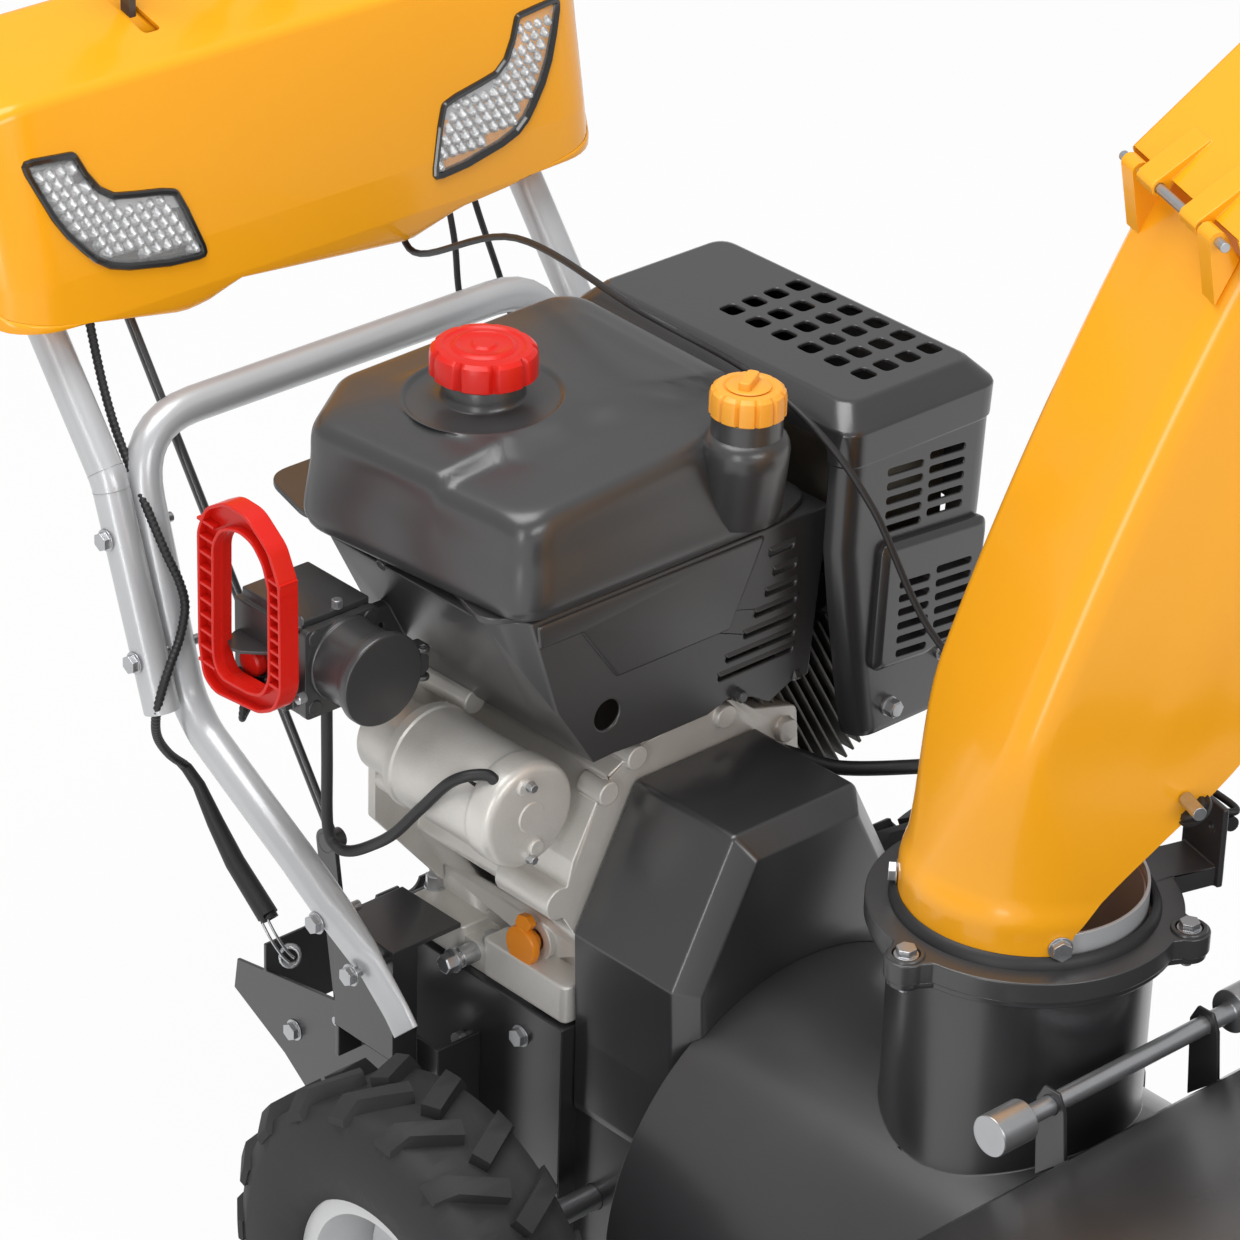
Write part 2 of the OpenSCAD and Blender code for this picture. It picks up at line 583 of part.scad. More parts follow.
// ---- Engine ----
function inset(p, g) = let (n = len(p)) [for (i = [0:n - 1]) mitre(p[(i + n - 1) % n], p[i], p[(i + 1) % n], g)];
function at_z(p, z) = [for (q = p) [q.x, q.y, z]];
function at_y(p, y) = [for (i = [len(p) - 1:-1:0]) [p[i].x, y, p[i].y]];
// Round every corner of a counter-clockwise outline with k + 1 points
function rounded(p, r, k = 4) = let (n = len(p)) [for (i = [0:n - 1], j = [0:k])
        let (a = p[(i + n - 1) % n], b = p[i], c = p[(i + 1) % n], u = left(b - a), v = left(c - b),
            s = u.x * v.y - u.y * v.x > 0 ? 1 : -1, o = mitre(a, b, c, s * r),
            w = s * acos(min(1, u * v)) * j / k)
        o - s * r * turned(u, w)];
case = [[-94, 330], [94, 330], [98, 352], [112, 420], [104, 500], [60, 512], [40, 528], [-40, 530],
    [-86, 508], [-117, 448], [-127, 407], [-98, 362]];
module crankcase() color("#8f8e8b") difference() {
    union() {
        along_y(engine_y, crankcase_back) polygon(rounded(case, 8, 2));
        block([-118, 118], [383, crankcase_back], [deck_z, 331]);
        block([-98, 98], [engine_y, 384], [deck_z, 331]);
        translate([0, 397, 352]) rod_x(-104, -60, 34);
        translate([0, 0, crank_z]) rod_y(engine_y - 5, engine_y, 74);
        // The rear flange that the starter bolts to
        along_y(505, 513) polygon([[-100, 350], [-196, 462], [-203, 500], [-196, 528], [-160, 546],
            [-100, 532]]);
        for (p = [[-61, 517], [27, 519], [91, 484], [-88, 497], [84, 362], [-84, 362]])
            translate([p[0], 0, p[1]]) rod_y(engine_y - 6, engine_y + 20, 19);
        translate([-128, 0, 417]) rod_y(engine_y, 402, 26);
    }
    translate([0, 0, crank_z]) rod_y(engine_y - 6, engine_y + 70, crank_d + 2 * shaft_fit);
    translate([0, 397, 352]) rod_x(-120, -25, 16 + 2 * shaft_fit);
}
fin_count = 11;
head_tilt = 30;
module cylinder_head() color("#9a9996") translate([0, 432, crank_z]) rotate([0, -head_tilt, 0]) difference() {
    union() {
        block([60, 196], [-52, 52], [-48, 48]);
        for (i = [0:fin_count - 1]) block([111 + 8 * i, 113.4 + 8 * i], [-84, 78], [-66, 66]);
        block([196, 226], [-66, 60], [-52, 52]);
        translate([0, -20, -20]) rod_x(220, 250, 16);
    }
    rotate([0, head_tilt, 0]) translate([0, -432, -crank_z]) block([40, 105], [320, 525], [521, 620]);
    rotate([0, head_tilt, 0]) translate([0, -432, -crank_z])
        along_y(engine_y - 9, crankcase_back + 1) polygon(rounded(case, 8, 2));
}
shroud_front = [[-176, 671], [-149, 590], [-114, 537], [-94, 538], [-58, 536], [-3, 536], [17, 542],
    [41, 535], [59, 524], [80, 534], [98, 534], [111, 671]];
shroud_back = [[-200, 671], [-158, 590], [-116, 537], [-94, 538], [-58, 536], [-3, 536], [17, 542],
    [41, 535], [59, 531], [80, 534], [98, 534], [111, 671]];
shroud_y = 328;
louvre = [[52, 77, 650], [57, 80, 633], [50, 81, 618], [40, 82, 604], [30, 82, 590], [13, 82, 576],
    [6, 81, 563]];
module engine_shroud() color("#3a3a3c") difference() {
    union() {
        skin([at_y(shroud_front, shroud_y), at_y(shroud_front, shroud_y + 3), at_y(shroud_back, shroud_y + 24),
            at_y(shroud_back, 520)]);
        block([-197, -150], [484, 492], [588, 622]);
    }
    skin([at_y(inset(shroud_front, 3), shroud_y + 3), at_y(inset(shroud_back, 3), shroud_y + 24),
        at_y(inset(shroud_back, 3), 521)]);
    for (s = louvre) translate([(s[0] + s[1]) / 2, 0, s[2]]) along_y(shroud_y - 1, shroud_y + 5)
        slot(s[1] - s[0], 6);
    translate([-102, 0, 572]) rod_y(shroud_y - 1, shroud_y + 5, 24);
    translate([-182, 0, 605]) rod_y(480, 500, 6.2);
}
module tank_plate() color("#303032") difference() {
    union() {
        translate([0, 0, 671 + 0]) linear_extrude(tank_floor - 671) polygon([[-182, 614], [-197, 556],
            [-189, 399], [-206, 348], [-173, 330], [66, 330], [106, 345], [106, 568], [78, 568], [60, 614]]);
        translate([8, 312, 671]) cylinder(h = tank_floor - 671, r = 31);
    }
    for (p = [[-186, 552], [-183, 468], [90, 380], [90, 560]]) translate([p[0], p[1], 670])
        cylinder(h = 10, d = 6.2);
}
tank_base = [[-208, 540], [-190, 320], [62, 322], [66, 560], [-150, 572]];
tank_wide = [[-214, 537], [-194, 316], [62, 319], [70, 566], [-150, 578]];
tank_waist = [[-210, 534], [-191, 319], [59, 322], [67, 562], [-150, 574]];
tank_top = [[-157, 532], [-184, 352], [-74, 330], [32, 470], [-60, 540]];
module fuel_tank() color("#353537") difference() {
    union() {
        skin([at_z(rounded(tank_base, 24), tank_floor), at_z(rounded(tank_wide, 28), 690),
            at_z(rounded(tank_waist, 30), 739), at_z(rounded(inset(tank_waist, 14), 30), 757),
            at_z(rounded(tank_top, 22), 785)]);
        translate([-104, 465, 770]) cylinder(h = 26, r = 30);
    }
    translate([-104, 465, 735]) cylinder(h = 80, r = 25);
    translate([8, 312, tank_floor - 1]) cylinder(h = 100, r = 32);
}
module fuel_cap() color("#d8281e") translate([-104, 465, 786]) difference() {
    union() {
        cylinder(h = 22, r = fuel_cap_r - 2);
        translate([0, 0, 19]) cylinder(h = 6, r = fuel_cap_r - 10);
        for (a = [0:24:336]) rotate(a) translate([fuel_cap_r - 4, 0, 0]) cylinder(h = 19, r = 4, $fn = 24);
    }
    translate([0, 0, -1]) cylinder(h = 15, r = 30.35);
}
module oil_neck() color("#2f2f31") translate([8, 312, tank_floor]) difference() {
    union() {
        cylinder(h = 12, r = 31);
        cylinder(h = 88, r = 29);
        translate([0, 0, 80]) cylinder(h = 12, r = 31);
    }
    translate([0, 0, 12]) cylinder(h = 90, r = 20);
}
module oil_cap() color("#f2b233") translate([8, 312, tank_floor + 92.3]) difference() {
    union() {
        cylinder(h = 16, r = oil_cap_r);
        translate([0, 0, 8]) for (a = [0:30:330]) rotate(a) translate([oil_cap_r - 1, 0, -2])
            cylinder(h = 14, r = 3, $fn = 24);
        translate([0, 0, -20]) cylinder(h = 21, r = 19.6);
        block([-oil_cap_r + 6, oil_cap_r - 6], [-4, 4], [15, 26]);
    }
    translate([0, 0, -21]) cylinder(h = 30, r = 15);
}
module dipstick() color("#f08a1c") translate([0, 397, 352]) {
    rod_x(-125, -104.3, 30);
    rod_x(-133, -124, 12);
    rod_x(-105, -86, 16);
    rod_x(-86, -30, 4);
}
module muffler() color("#77736c") {
    translate([170, 0, 655]) difference() {
        along_y(318, 552) round_rect(96, 110, 30);
        along_y(320, 550) round_rect(92, 106, 28);
    }
    rod([156.6, 432, 561.8], [139, 432, 592], 30);
    translate([139, 432, 592]) sphere(r = 17);
    rod([139, 432, 592], [165, 432, 618], 30);
}
// The guard stands clear of the hot muffler: a pierced box, open below and toward the engine
guard_face = [[82, 653], [110, 492], [206, 490], [215, 525], [231, 601], [234, 634], [240, 748],
    [229, 765], [96, 765], [84, 748]];
module muffler_guard() color("#3b3b3d") difference() {
    skin([at_y(inset(guard_face, 9), 285), at_y(guard_face, 293), at_y(guard_face, 577),
        at_y(inset(guard_face, 9), 585)]);
    skin([at_y(inset(guard_face, 12), 288), at_y(inset(guard_face, 3), 296), at_y(inset(guard_face, 3), 574),
        at_y(inset(guard_face, 12), 582)]);
    block([60, 236], [296, 586], [480, 640]);
    block([60, 98], [300, 576], [480, 758]);
    for (x = [118, 148, 178, 208], y = [325:36:541]) translate([x, y, 750]) linear_extrude(20) slot(20, 9);
    for (z = [664, 676, 688, 700]) along_y(280, 300) translate([162, z]) slot(96, 6);
    for (y = [330:30:540]) along_x(225, 250) translate([y, 690]) rotate(90) slot(60, 10);
    for (p = [[128, 512], [196, 512]]) translate([p[0], 0, p[1]]) rod_y(280, 300, 6.2);
}
module starter_motor() color("#a3a09a") {
    translate([-156, 0, 500]) {
        rod_y(352, 504.7, 2 * starter_r - 4);
        rod_y(349, 362, 2 * starter_r);
        rod_y(345, 350, 2 * starter_r - 16);
        rod_y(494, 504.7, 2 * starter_r);
    }
    translate([-163, 0, 526]) rod_y(343.5, 349, 12);
    translate([-152, 0, 474]) rod_y(343.5, 349, 12);
    translate([-186, 345, 520]) rod_y(0, 30, 30);
}

// ---- Electric start box ----
box_x = [-262, -197];
box_y = [470, 551];
box_z = [564, 638];
button_d = 24;
module switch_box() color("#2c2c2e") difference() {
    union() {
        block([box_x[0], box_x[1]], [box_y[0], box_y[1]], [box_z[0], box_z[1] - 8]);
        block([box_x[0] + 4, box_x[1]], [box_y[0] + 8, box_y[1] - 4], [box_z[0], box_z[1]]);
        translate([-228, 0, 603]) rod_y(432, box_y[0] + 1, 62);
        block([handle_x[1] + 0.3, box_x[0] + 1], [484, 508], [566, 584]);
        for (z = [-13.3, 9.3]) translate([-190, 428, 603 + z]) {
            cylinder(h = 4, r = 5.5);
            block([-5.5, 5.5], [0, 12], [0, 4]);
            block([-16, 4], [5, 12], [0, 4]);
        }
    }
    translate([-228, 0, 603]) rod_y(431, 462, 54);
    translate([0, 526, 588]) rod_x(box_x[0] - 1, box_x[0] + 14, button_d + 2 * bolt_fit);
    translate([-190, 428, 603]) cylinder(h = 30, r = 2.05, center = true);
    block([-224, -190], [483, 493.5], [586, 624]);
}
module socket_lid() color("#2a2a2c") translate([-228, 0, 603]) difference() {
    union() {
        rod_y(424, 431.7, 66);
        block([24, 37], [424, 431.7], [-9, 9]);
        translate([38, 428, 0]) cylinder(h = 18, r = 4.5, center = true);
    }
    translate([38, 428, 0]) cylinder(h = 30, r = 2.05, center = true);
}
module start_button() color("#b02018") translate([0, 526, 588]) {
    rod_x(box_x[0] - 6, box_x[0] + 9, button_d);
}

// ---- Recoil starter ----
recoil_r = 98;
module recoil_cover() color("#2b2b2d") translate([0, 0, crank_z]) difference() {
    union() {
        rod_y(crankcase_back + 0, 572, 2 * recoil_r);
        rod_y(571, 596, 2 * recoil_r - 34);
        translate([-74, 560, 52]) rotate([0, -40, 0]) cylinder(h = 46, r = 11);
    }
    rod_y(crankcase_back - 1, 568, 2 * recoil_r - 6);
    for (a = [0:30:330]) rotate([0, a, 0]) translate([0, 596, 0]) rotate([90, 0, 0])
        linear_extrude(10) translate([52, 0]) slot(36, 9);
}
handle_x = [-296, -270];
rope_at = [-283, 478, 594];
pull_grip_outer = [[566, 705], [548, 712], [520, 729], [494, 730], [460, 704], [463, 595], [480, 577],
    [549, 562], [564, 568], [571, 622]];
pull_grip_inner = [[532, 704], [498, 711], [478, 692], [478, 618], [539, 590], [538, 690]];
module recoil_handle() color("#d8281e") difference() {
    union() {
        along_x(handle_x[0], handle_x[1]) polygon(rounded(pull_grip_outer, 8, 3));
        for (i = [0:10]) translate([-283, 462 + 0.28 * i, 612 + 8.2 * i]) rod_x(-13.8, 13.8, 5);
    }
    along_x(handle_x[0] - 1, handle_x[1] + 1) polygon(rounded(pull_grip_inner, 8, 3));
}

// ---- Handles ----
lower_path = [[leg_x, 428, 305], [leg_x, 672, 462], [leg_x, 746, crossbar_z]];
module lower_handle() color("#b4b5b7") difference() {
    tube_ring(tube_d);
    tube_ring(tube_d - 2 * tube_wall);
    bracket_bolts(8.2);
    for (z = joint_z) translate([0, leg_y(z), z]) rod_x(-leg_x - 30, leg_x + 30, 8.2);
}
module tube_ring(d) bent_tube(concat(lower_path, [for (i = [2:-1:0]) [-lower_path[i].x, lower_path[i].y,
    lower_path[i].z]]), d, 58);
joint_z = [510, 600];
function leg_y(z) = 672 + (z - 462) * 74 / (crossbar_z - 462);
upper_x = leg_x + tube_d + 0.3;
grip_y = 966;
upper_path = [[upper_x, leg_y(470), 470], [upper_x, leg_y(640), 640], [upper_x, 940, grip_z],
    [upper_x, rear_y - 4, grip_z]];
module bracket_bolts(d) pair() for (y = [470, 510]) translate([0, y, leg_low(y)])
    rod_x(web_x - 12, leg_x + tube_d / 2 + 1, d);
web_x = leg_x - tube_d / 2;
function leg_low(y) = 305 + (y - 428) * (462 - 305) / (672 - 428);
module upper_handles() color("#8e8f91") pair() difference() {
    bent_tube(upper_path, tube_d, 45);
    bent_tube(upper_path, tube_d - 2 * tube_wall, 45);
    for (z = joint_z) translate([0, leg_y(z), z]) rod_x(leg_x, leg_x + 60, 8.2);
}
module grips() color("#1f1f21") pair() difference() {
    union() {
        translate([upper_x, 0, grip_z]) rod_y(grip_y, rear_y, grip_d);
        translate([upper_x, 0, grip_z]) rod_y(grip_y, grip_y + 7, grip_d + 6);
        for (y = [grip_y + 14:9:rear_y - 10]) translate([upper_x, 0, grip_z]) rod_y(y, y + 4, grip_d + 1.6);
    }
    translate([upper_x, 0, grip_z]) rod_y(900, rear_y - 4, tube_d);
}

// ---- Console ----
stick_y = 872;
stick_z = 792;
console_side = [[768, 700], [940, 700], [940, 925], [905, 945], [806, 918], [768, 745]];
console_in = [[771, 699], [937, 699], [937, 923], [904, 942], [808.5, 915], [771, 744.6]];
module console_outline(g) polygon([[-292 + g, 960], [-288 + g, 770], [-275, 764 - (g > 0 ? 90 : 0)],
    [-134, 733 - (g > 0 ? 90 : 0)], [-81, 747 - (g > 0 ? 90 : 0)], [86, 730 - (g > 0 ? 90 : 0)],
    [136, 743 - (g > 0 ? 90 : 0)], [187, 748 - (g > 0 ? 90 : 0)], [275, 764 - (g > 0 ? 90 : 0)],
    [288 - g, 770], [292 - g, 960]]);
module console() color("#f5a21c") difference() {
    union() {
        difference() {
            intersection() {
                along_x(-console_half_w, console_half_w) polygon(console_side);
                along_y(760, 950) console_outline(0);
            }
            intersection() {
                along_x(-console_half_w, console_half_w) polygon(console_in);
                along_y(760, 950) console_outline(3);
            }
        }
        pair() for (x = [upper_x - 22, upper_x + 16]) along_x(x, x + 6)
            polygon([[928, 900], [940, 900], [966, 940], [966, 956], [958, 960], [948, 956], [922, 936]]);
        intersection() {
            along_x(-console_half_w, console_half_w) polygon(console_side);
            union() {
                for (x = [78, -93]) block([x, x + 5], [stick_y - 14, stick_y + 14], [stick_z - 12, 950]);
                block([-14, 14], [stick_y + 14, stick_y + 19], [stick_z - 12, 950]);
            }
        }
    }
    pair() bent_tube(upper_path, tube_d + 0.8, 45);
    pair() translate([0, 956, 948]) rod_x(200, 270, 8.2);
    block([60, 76], [stick_y - 40, stick_y + 40], [880, 960]);
    block([-60, 16], [stick_y - 8, stick_y + 8], [880, 960]);
    block([-112, -96], [stick_y - 30, stick_y + 30], [880, 960]);
    translate([0, stick_y, stick_z]) rod_x(-100, 90, 8.2);
    translate([0, 0, stick_z]) rod_y(stick_y + 10, stick_y + 24, 8.2);
    pair() along_y(760, 800) polygon(lamp);
}
lamp = [[102, 774], [189, 784], [246, 863], [197, 845], [102, 806]];
module headlights() color("#dfe6ea") pair() intersection() {
    along_y(764, 800) polygon(inset(lamp, 0.2));
    along_x(90, 260) polygon([[773, 744.6], [810.5, 915], [804, 915], [766.5, 744.6]]);
}
// A clutch paddle rests above its grip and is pressed down on to it
module clutch_lever(s) translate([s * upper_x, 956, 948]) difference() {
    union() {
        rod_x(-15.7, 15.7, 20);
        along_x(-11, 11) polygon([[-4, 9], [-2, -9], [12, 0], [62, 27], [112, 31], [113, 38], [60, 35], [8, 12]]);
    }
    rod_x(-16, 16, 8 + 2 * shaft_fit);
}
module drive_lever() color("#242426") clutch_lever(-1);
module auger_lever() color("#242426") clutch_lever(1);
// A control stick stands on a hub along X and carries a knob
module stick(reach) {
    difference() {
        union() {
            rod_x(-3, reach, 24);
            block([-3, 3], [-6, 6], [0, 205]);
            translate([0, 0, 205]) cylinder(h = 34, r = 15);
            translate([0, 0, 239]) sphere(r = 15);
            translate([0, 0, 197]) cylinder(h = 9, r = 11);
        }
        rod_x(-4, reach + 1, 8 + 2 * shaft_fit);
    }
}
module shift_lever() color("#242426") translate([68, stick_y, stick_z]) stick(9.7);
module deflector_lever() color("#242426") translate([-104, stick_y, stick_z]) stick(10.7);
module chute_lever() color("#242426") translate([0, stick_y, stick_z]) rotate(90) stick(13.7);

// ---- Chute ring and sleeve ----
module chute_ring() color("#2b2b2d") translate([0, chute_y, 0]) difference() {
    union() {
        translate([0, 0, ring_foot]) linear_extrude(ring_h) ear_outline(0);
        rotate(-15) {
            block([80, 150], [-20, 20], [ring_foot, ring_top]);
            block([142, 147], [-24, 24], [ring_foot, 578]);
        }
    }
    translate([0, 0, ring_foot - 1]) cylinder(h = 10, r = ring_r - 11, $fn = 96);
    translate([0, 0, ring_foot - 1]) cylinder(h = ring_h + 2, r = collar_r + 2, $fn = 96);
    translate([0, 0, ring_foot - 1]) linear_extrude(ring_h + 2) ear_holes();
    rotate(-15) translate([130, 9, 564]) rotate([0, 90, 0]) cylinder(h = 30, d = 8.2);
    rotate(-15) translate([130, -11, 558]) rotate([0, 90, 0]) cylinder(h = 30, d = 6.4);
}
sleeve_r = collar_r - chute_sheet - 0.8;
module chute_sleeve() color("#b9babb") translate([0, chute_y, 0]) difference() {
    union() {
        translate([0, 0, ring_foot + run_gap]) cylinder(h = 9 - 2 * run_gap, r = ring_r - 11 - run_gap, $fn = 96);
        translate([0, 0, ring_foot + run_gap]) cylinder(h = ring_h + 21, r = sleeve_r, $fn = 96);
    }
    translate([0, 0, ring_foot - 1]) cylinder(h = 60, r = sleeve_r - chute_sheet, $fn = 96);
    collar_bolts() cylinder(h = 20, d = 8.2, center = true);
}
module chute_frame() translate([0, chute_y, ring_top]) rotate(chute_turn - 90) children();
// Bolts through the collar: their angles are seen from above, from +X
collar_w = 14;
module collar_bolts() for (a = [133, 239, 28]) rotate(a) translate([sleeve_r, 0, ring_top + collar_w])
    rotate([0, 90, 0]) children();

// ---- Chute: one rolled sheet whose section opens from a round collar to a deep channel ----
lean_from = 22;
function spine(w) = -collar_r + chute_lean * max(0, w - lean_from) + chute_curl * pow(max(0, w - lean_from), 2);
function tip_back(w) = 27 * smooth((w - 80) / (chute_h - 80));
function half_width(w) = collar_r + (chute_half_w - collar_r) * smooth((w - 30) / 140);
function corner_r(w) = collar_r + (24 - collar_r) * smooth((w - 30) / 140);
function depth(w) = 80 + (chute_depth - 80) * smooth((w - 6) / 150);
// Distance out from the middle of the section at t in front of the spine
function flank(t, r, h) = t >= r ? h : h - r + sqrt(r * r - (r - t) * (r - t));
function lean_at(t, r) = t >= r ? 90 : acos(1 - t / r);
function half_section(d, r, h) = concat([for (t = [d, 0.9 * min(d, r)]) [t, flank(t, r, h), lean_at(t, r)]],
    [for (k = [1:7]) let (a = lean_at(0.9 * min(d, r), r) * (7 - k) / 7 + 1.5)
        [r - r * cos(a), h - r + r * sin(a), a]]);
function section_points(w, s) = let (p = half_section(depth(w), corner_r(w), half_width(w)))
    [for (q = p) [q[0] + s * cos(q[2]), q[1] - s * sin(q[2])]];
function laid(p, w) = [spine(w) + p.x * cos(tip_back(w)), p.y, w - p.x * sin(tip_back(w))];
function chute_ring_points(w) = let (o = section_points(w, 0), i = section_points(w, chute_sheet), n = len(o))
    [for (p = concat(o, [for (k = [n - 1:-1:0]) [o[k].x, -o[k].y]], [for (k = [0:n - 1]) [i[k].x, -i[k].y]],
        [for (k = [n - 1:-1:0]) i[k]])) laid(p, w)];
chute_steps = 24;
hinge = [68, 513];
module chute() color("#f5a21c") chute_frame() difference() {
    union() {
        skin([for (k = [-1:chute_steps]) chute_ring_points(k < 0 ? 6
            : lean_from + (chute_h - lean_from) * k / chute_steps)], true);
        for (v = [-66, 48]) along_y(v, v + 18) polygon([[spine(468) + 0.5, 468], [spine(498) + 1, 498],
            hinge + [5, 4], hinge + [0, 6.5], hinge + [-5, 4], hinge + [-6.5, 0]]);
    }
    rotate(90 - chute_turn) translate([0, 0, -ring_top]) collar_bolts() cylinder(h = 20, d = 8.2, center = true);
    translate([hinge.x, 0, hinge.y]) rod_y(-100, 100, 7.2);
    translate([73, 0, 112]) rod_y(-100, 100, 10.2);
}
// The deflector's flanks lie outside the chute's
deflector_half = chute_half_w + 0.8;
deflector_lean = 48;
function along_deflector(s, t) = hinge + s * [sin(deflector_lean), cos(deflector_lean)]
    + t * [cos(deflector_lean), -sin(deflector_lean)];
module deflector() color("#f5a21c") chute_frame() difference() {
    union() {
        for (s = [-1, 1]) along_y(min(s * deflector_half, s * (deflector_half + 2.5)),
            max(s * deflector_half, s * (deflector_half + 2.5))) polygon([along_deflector(8, 2),
                along_deflector(deflector_len, 2), along_deflector(deflector_len, 40), [242, 470], [226, 452],
                [118, 440], [92, 470]]);
        along_y(-deflector_half - 1, deflector_half + 1) polygon([along_deflector(9, 1.5),
            along_deflector(deflector_len - 1, 1.5), along_deflector(deflector_len - 1, 5), along_deflector(9, 5)]);
        for (v = [-44, 20]) along_y(v, v + 24) polygon([along_deflector(-6.5, 0), along_deflector(-4, -5),
            along_deflector(0, -6.5), along_deflector(45, 0), along_deflector(45, 3), along_deflector(12, 3),
            along_deflector(5, 6.3), along_deflector(-3.5, 5.5)]);
    }
    translate([hinge.x, 0, hinge.y]) rod_y(-100, 100, 7.2);
}
module chute_pins() color("#b4b5b7") chute_frame() {
    translate([hinge.x, 0, hinge.y]) rod_y(-76, 76, 7);
    for (s = [-1, 1]) translate([73, s * half_width(112), 112]) rotate([s * 90, 0, 0]) translate([0, 0, -12])
        cylinder(h = 22, d = 10, center = true);
    rotate(90 - chute_turn) translate([0, 0, -ring_top]) collar_bolts() {
        translate([0, 0, -6]) cylinder(h = 14, d = 8);
        translate([0, 0, collar_r - sleeve_r + 0.1]) hex_head(8);
    }
}

// ---- Rods, cables and the stowed clean-out tool ----
module shift_rod() color("#9c9d9f") {
    rod([-155, 859, 790], [-155, 570, 380], 8);
    translate([0, 568, 378]) rod_x(-164, -149, 16);
    along_x(3 - tail_half + run_gap, 7 - tail_half + run_gap) difference() {
        translate([557, 306]) rotate(81) slot(168, 22);
        translate([545, 234]) circle(4.1);
    }
}
cable_to_chute = [[95, 795, 765], [95, 776, 715], [62, 620, 792], [20, 438, 814], [60, 364, 780],
    [69, 300, 752], [84, 258, 704], [111, 200, 601], [160, 100, 572], [158, -30, 566], [142, -32, 566]];
cable_conduit = [[-205, 805, 800], [-199, 790, 730], [-190, 772, 672], [-185, 748, 612], [-183, 735, 550],
    [-182, 720, 470],
    [-181, 700, 385], [-180, 657, 337], [-180, 622, 298]];
cable_start = [[-232, 520, 562], [-240, 535, 500], [-214, 524, 412], [-206, 440, 425], [-224, 392, 470],
    [-206, 362, 517]];
cable_drive = [[138, 800, 780], [138, 779, 715], [142, 775, 661], [142, 748, 590], [132, 690, 500], [112, 630, 420],
    [100, 600, 320], [90, 575, 250]];
cable_auger = [[160, 800, 780], [163, 780, 730], [186, 775, 660], [184, 745, 600], [170, 690, 510], [160, 620, 420],
    [140, 560, 340], [128, 540, 318]];
cable_hose = [[90, 339.2, 467], [99, 331, 461], [114, 305, 458], [150, 262, 466], [192, 190, 490],
    [190, 90, 540], [148, -42, 558]];
cable_rope = [[-104.2, 560, 499.2], [-150, 564, 534], [-215, 562, 552], [-262, 535, 545], [-283, 516, 552],
    [-283, 514, 568]];
module cables() color("#1d1d1f") {
    cable(cable_rope, cable_d - 2);
    cable(cable_to_chute, cable_d);
    cable(cable_conduit, cable_d + 3);
    cable(cable_start, cable_d);
    cable(cable_drive, cable_d - 1);
    cable(cable_auger, cable_d - 1);
    cable(cable_hose, cable_d + 2);
}
module clean_out_tool() color("#b4b5b7") {
    translate([0, tool_y, tool_z]) {
        rod_x(-120, 86, 14);
        rod_x(86, 126, 32);
        rod_x(-150, -118, 30);
    }
}

// ---- Fasteners of the standing parts ----
module bolt_x(x, y, z, s, d = 8) translate([x, y, z]) rotate([0, s * 90, 0]) hex_head(d);
module bolt_y(x, y, z, d = 8) translate([x, y, z]) rotate([90, 0, 0]) hex_head(d);
module fasteners() color("#9a9b9d") {
    translate([0, chute_y, 0]) for (a = ear_angles) rotate(a) translate([ear_at, 0, 0]) {
        translate([0, 0, ring_foot - 12]) cylinder(h = ring_h + 14, r = bolt_r);
        translate([0, 0, ring_top]) hex_head(2 * bolt_r);
    }
    pair() {
        for (p = [[517, 285], [387, 281], [470, 130]]) bolt_x(frame_half, p[0], p[1], 1);
        bolt_x(tail_half, 601, 196, 1);
        for (y = [470, 510]) translate([0, y, leg_low(y)]) {
            rod_x(web_x - 12, leg_x + tube_d / 2 + 5, 8);
            translate([leg_x + tube_d / 2 + 0.3, 0, 0]) rotate([0, 90, 0]) hex_head(8);
        }
        for (z = joint_z) translate([0, leg_y(z), z]) {
            rod_x(leg_x - tube_d / 2 - 4, upper_x + tube_d / 2 + 5, 8);
            translate([upper_x + tube_d / 2 + 0.3, 0, 0]) rotate([0, 90, 0]) hex_head(8);
        }
        for (y = [auger_y + 30, auger_y + 120]) translate([half_w + shoe_t, y, 42]) rotate([0, 90, 0]) hex_head(8);
        for (y = [506, 440]) translate([107, y, 331]) hex_head(8);
        translate([upper_x, 956, 948]) rod_x(-26, 26, 8);
    }
    for (a = [45, 135, 225, 315]) translate([0, drum_back + 5, drum_z]) rotate([0, a, 0])
        translate([33, 0, 0]) rotate([-90, 0, 0]) hex_head(5);
    translate([0, stick_y, stick_z]) rod_x(64, 86, 8);
    translate([0, stick_y, stick_z]) rod_x(-108, -86, 8);
    translate([0, 0, stick_z]) rod_y(stick_y - 4, stick_y + 22, 8);
    translate([-190, 428, 603]) cylinder(h = 24, r = 2, center = true);
    translate([0, 545, 234]) rod_x(-tail_half - 6, -tail_half + 9, 8);
}

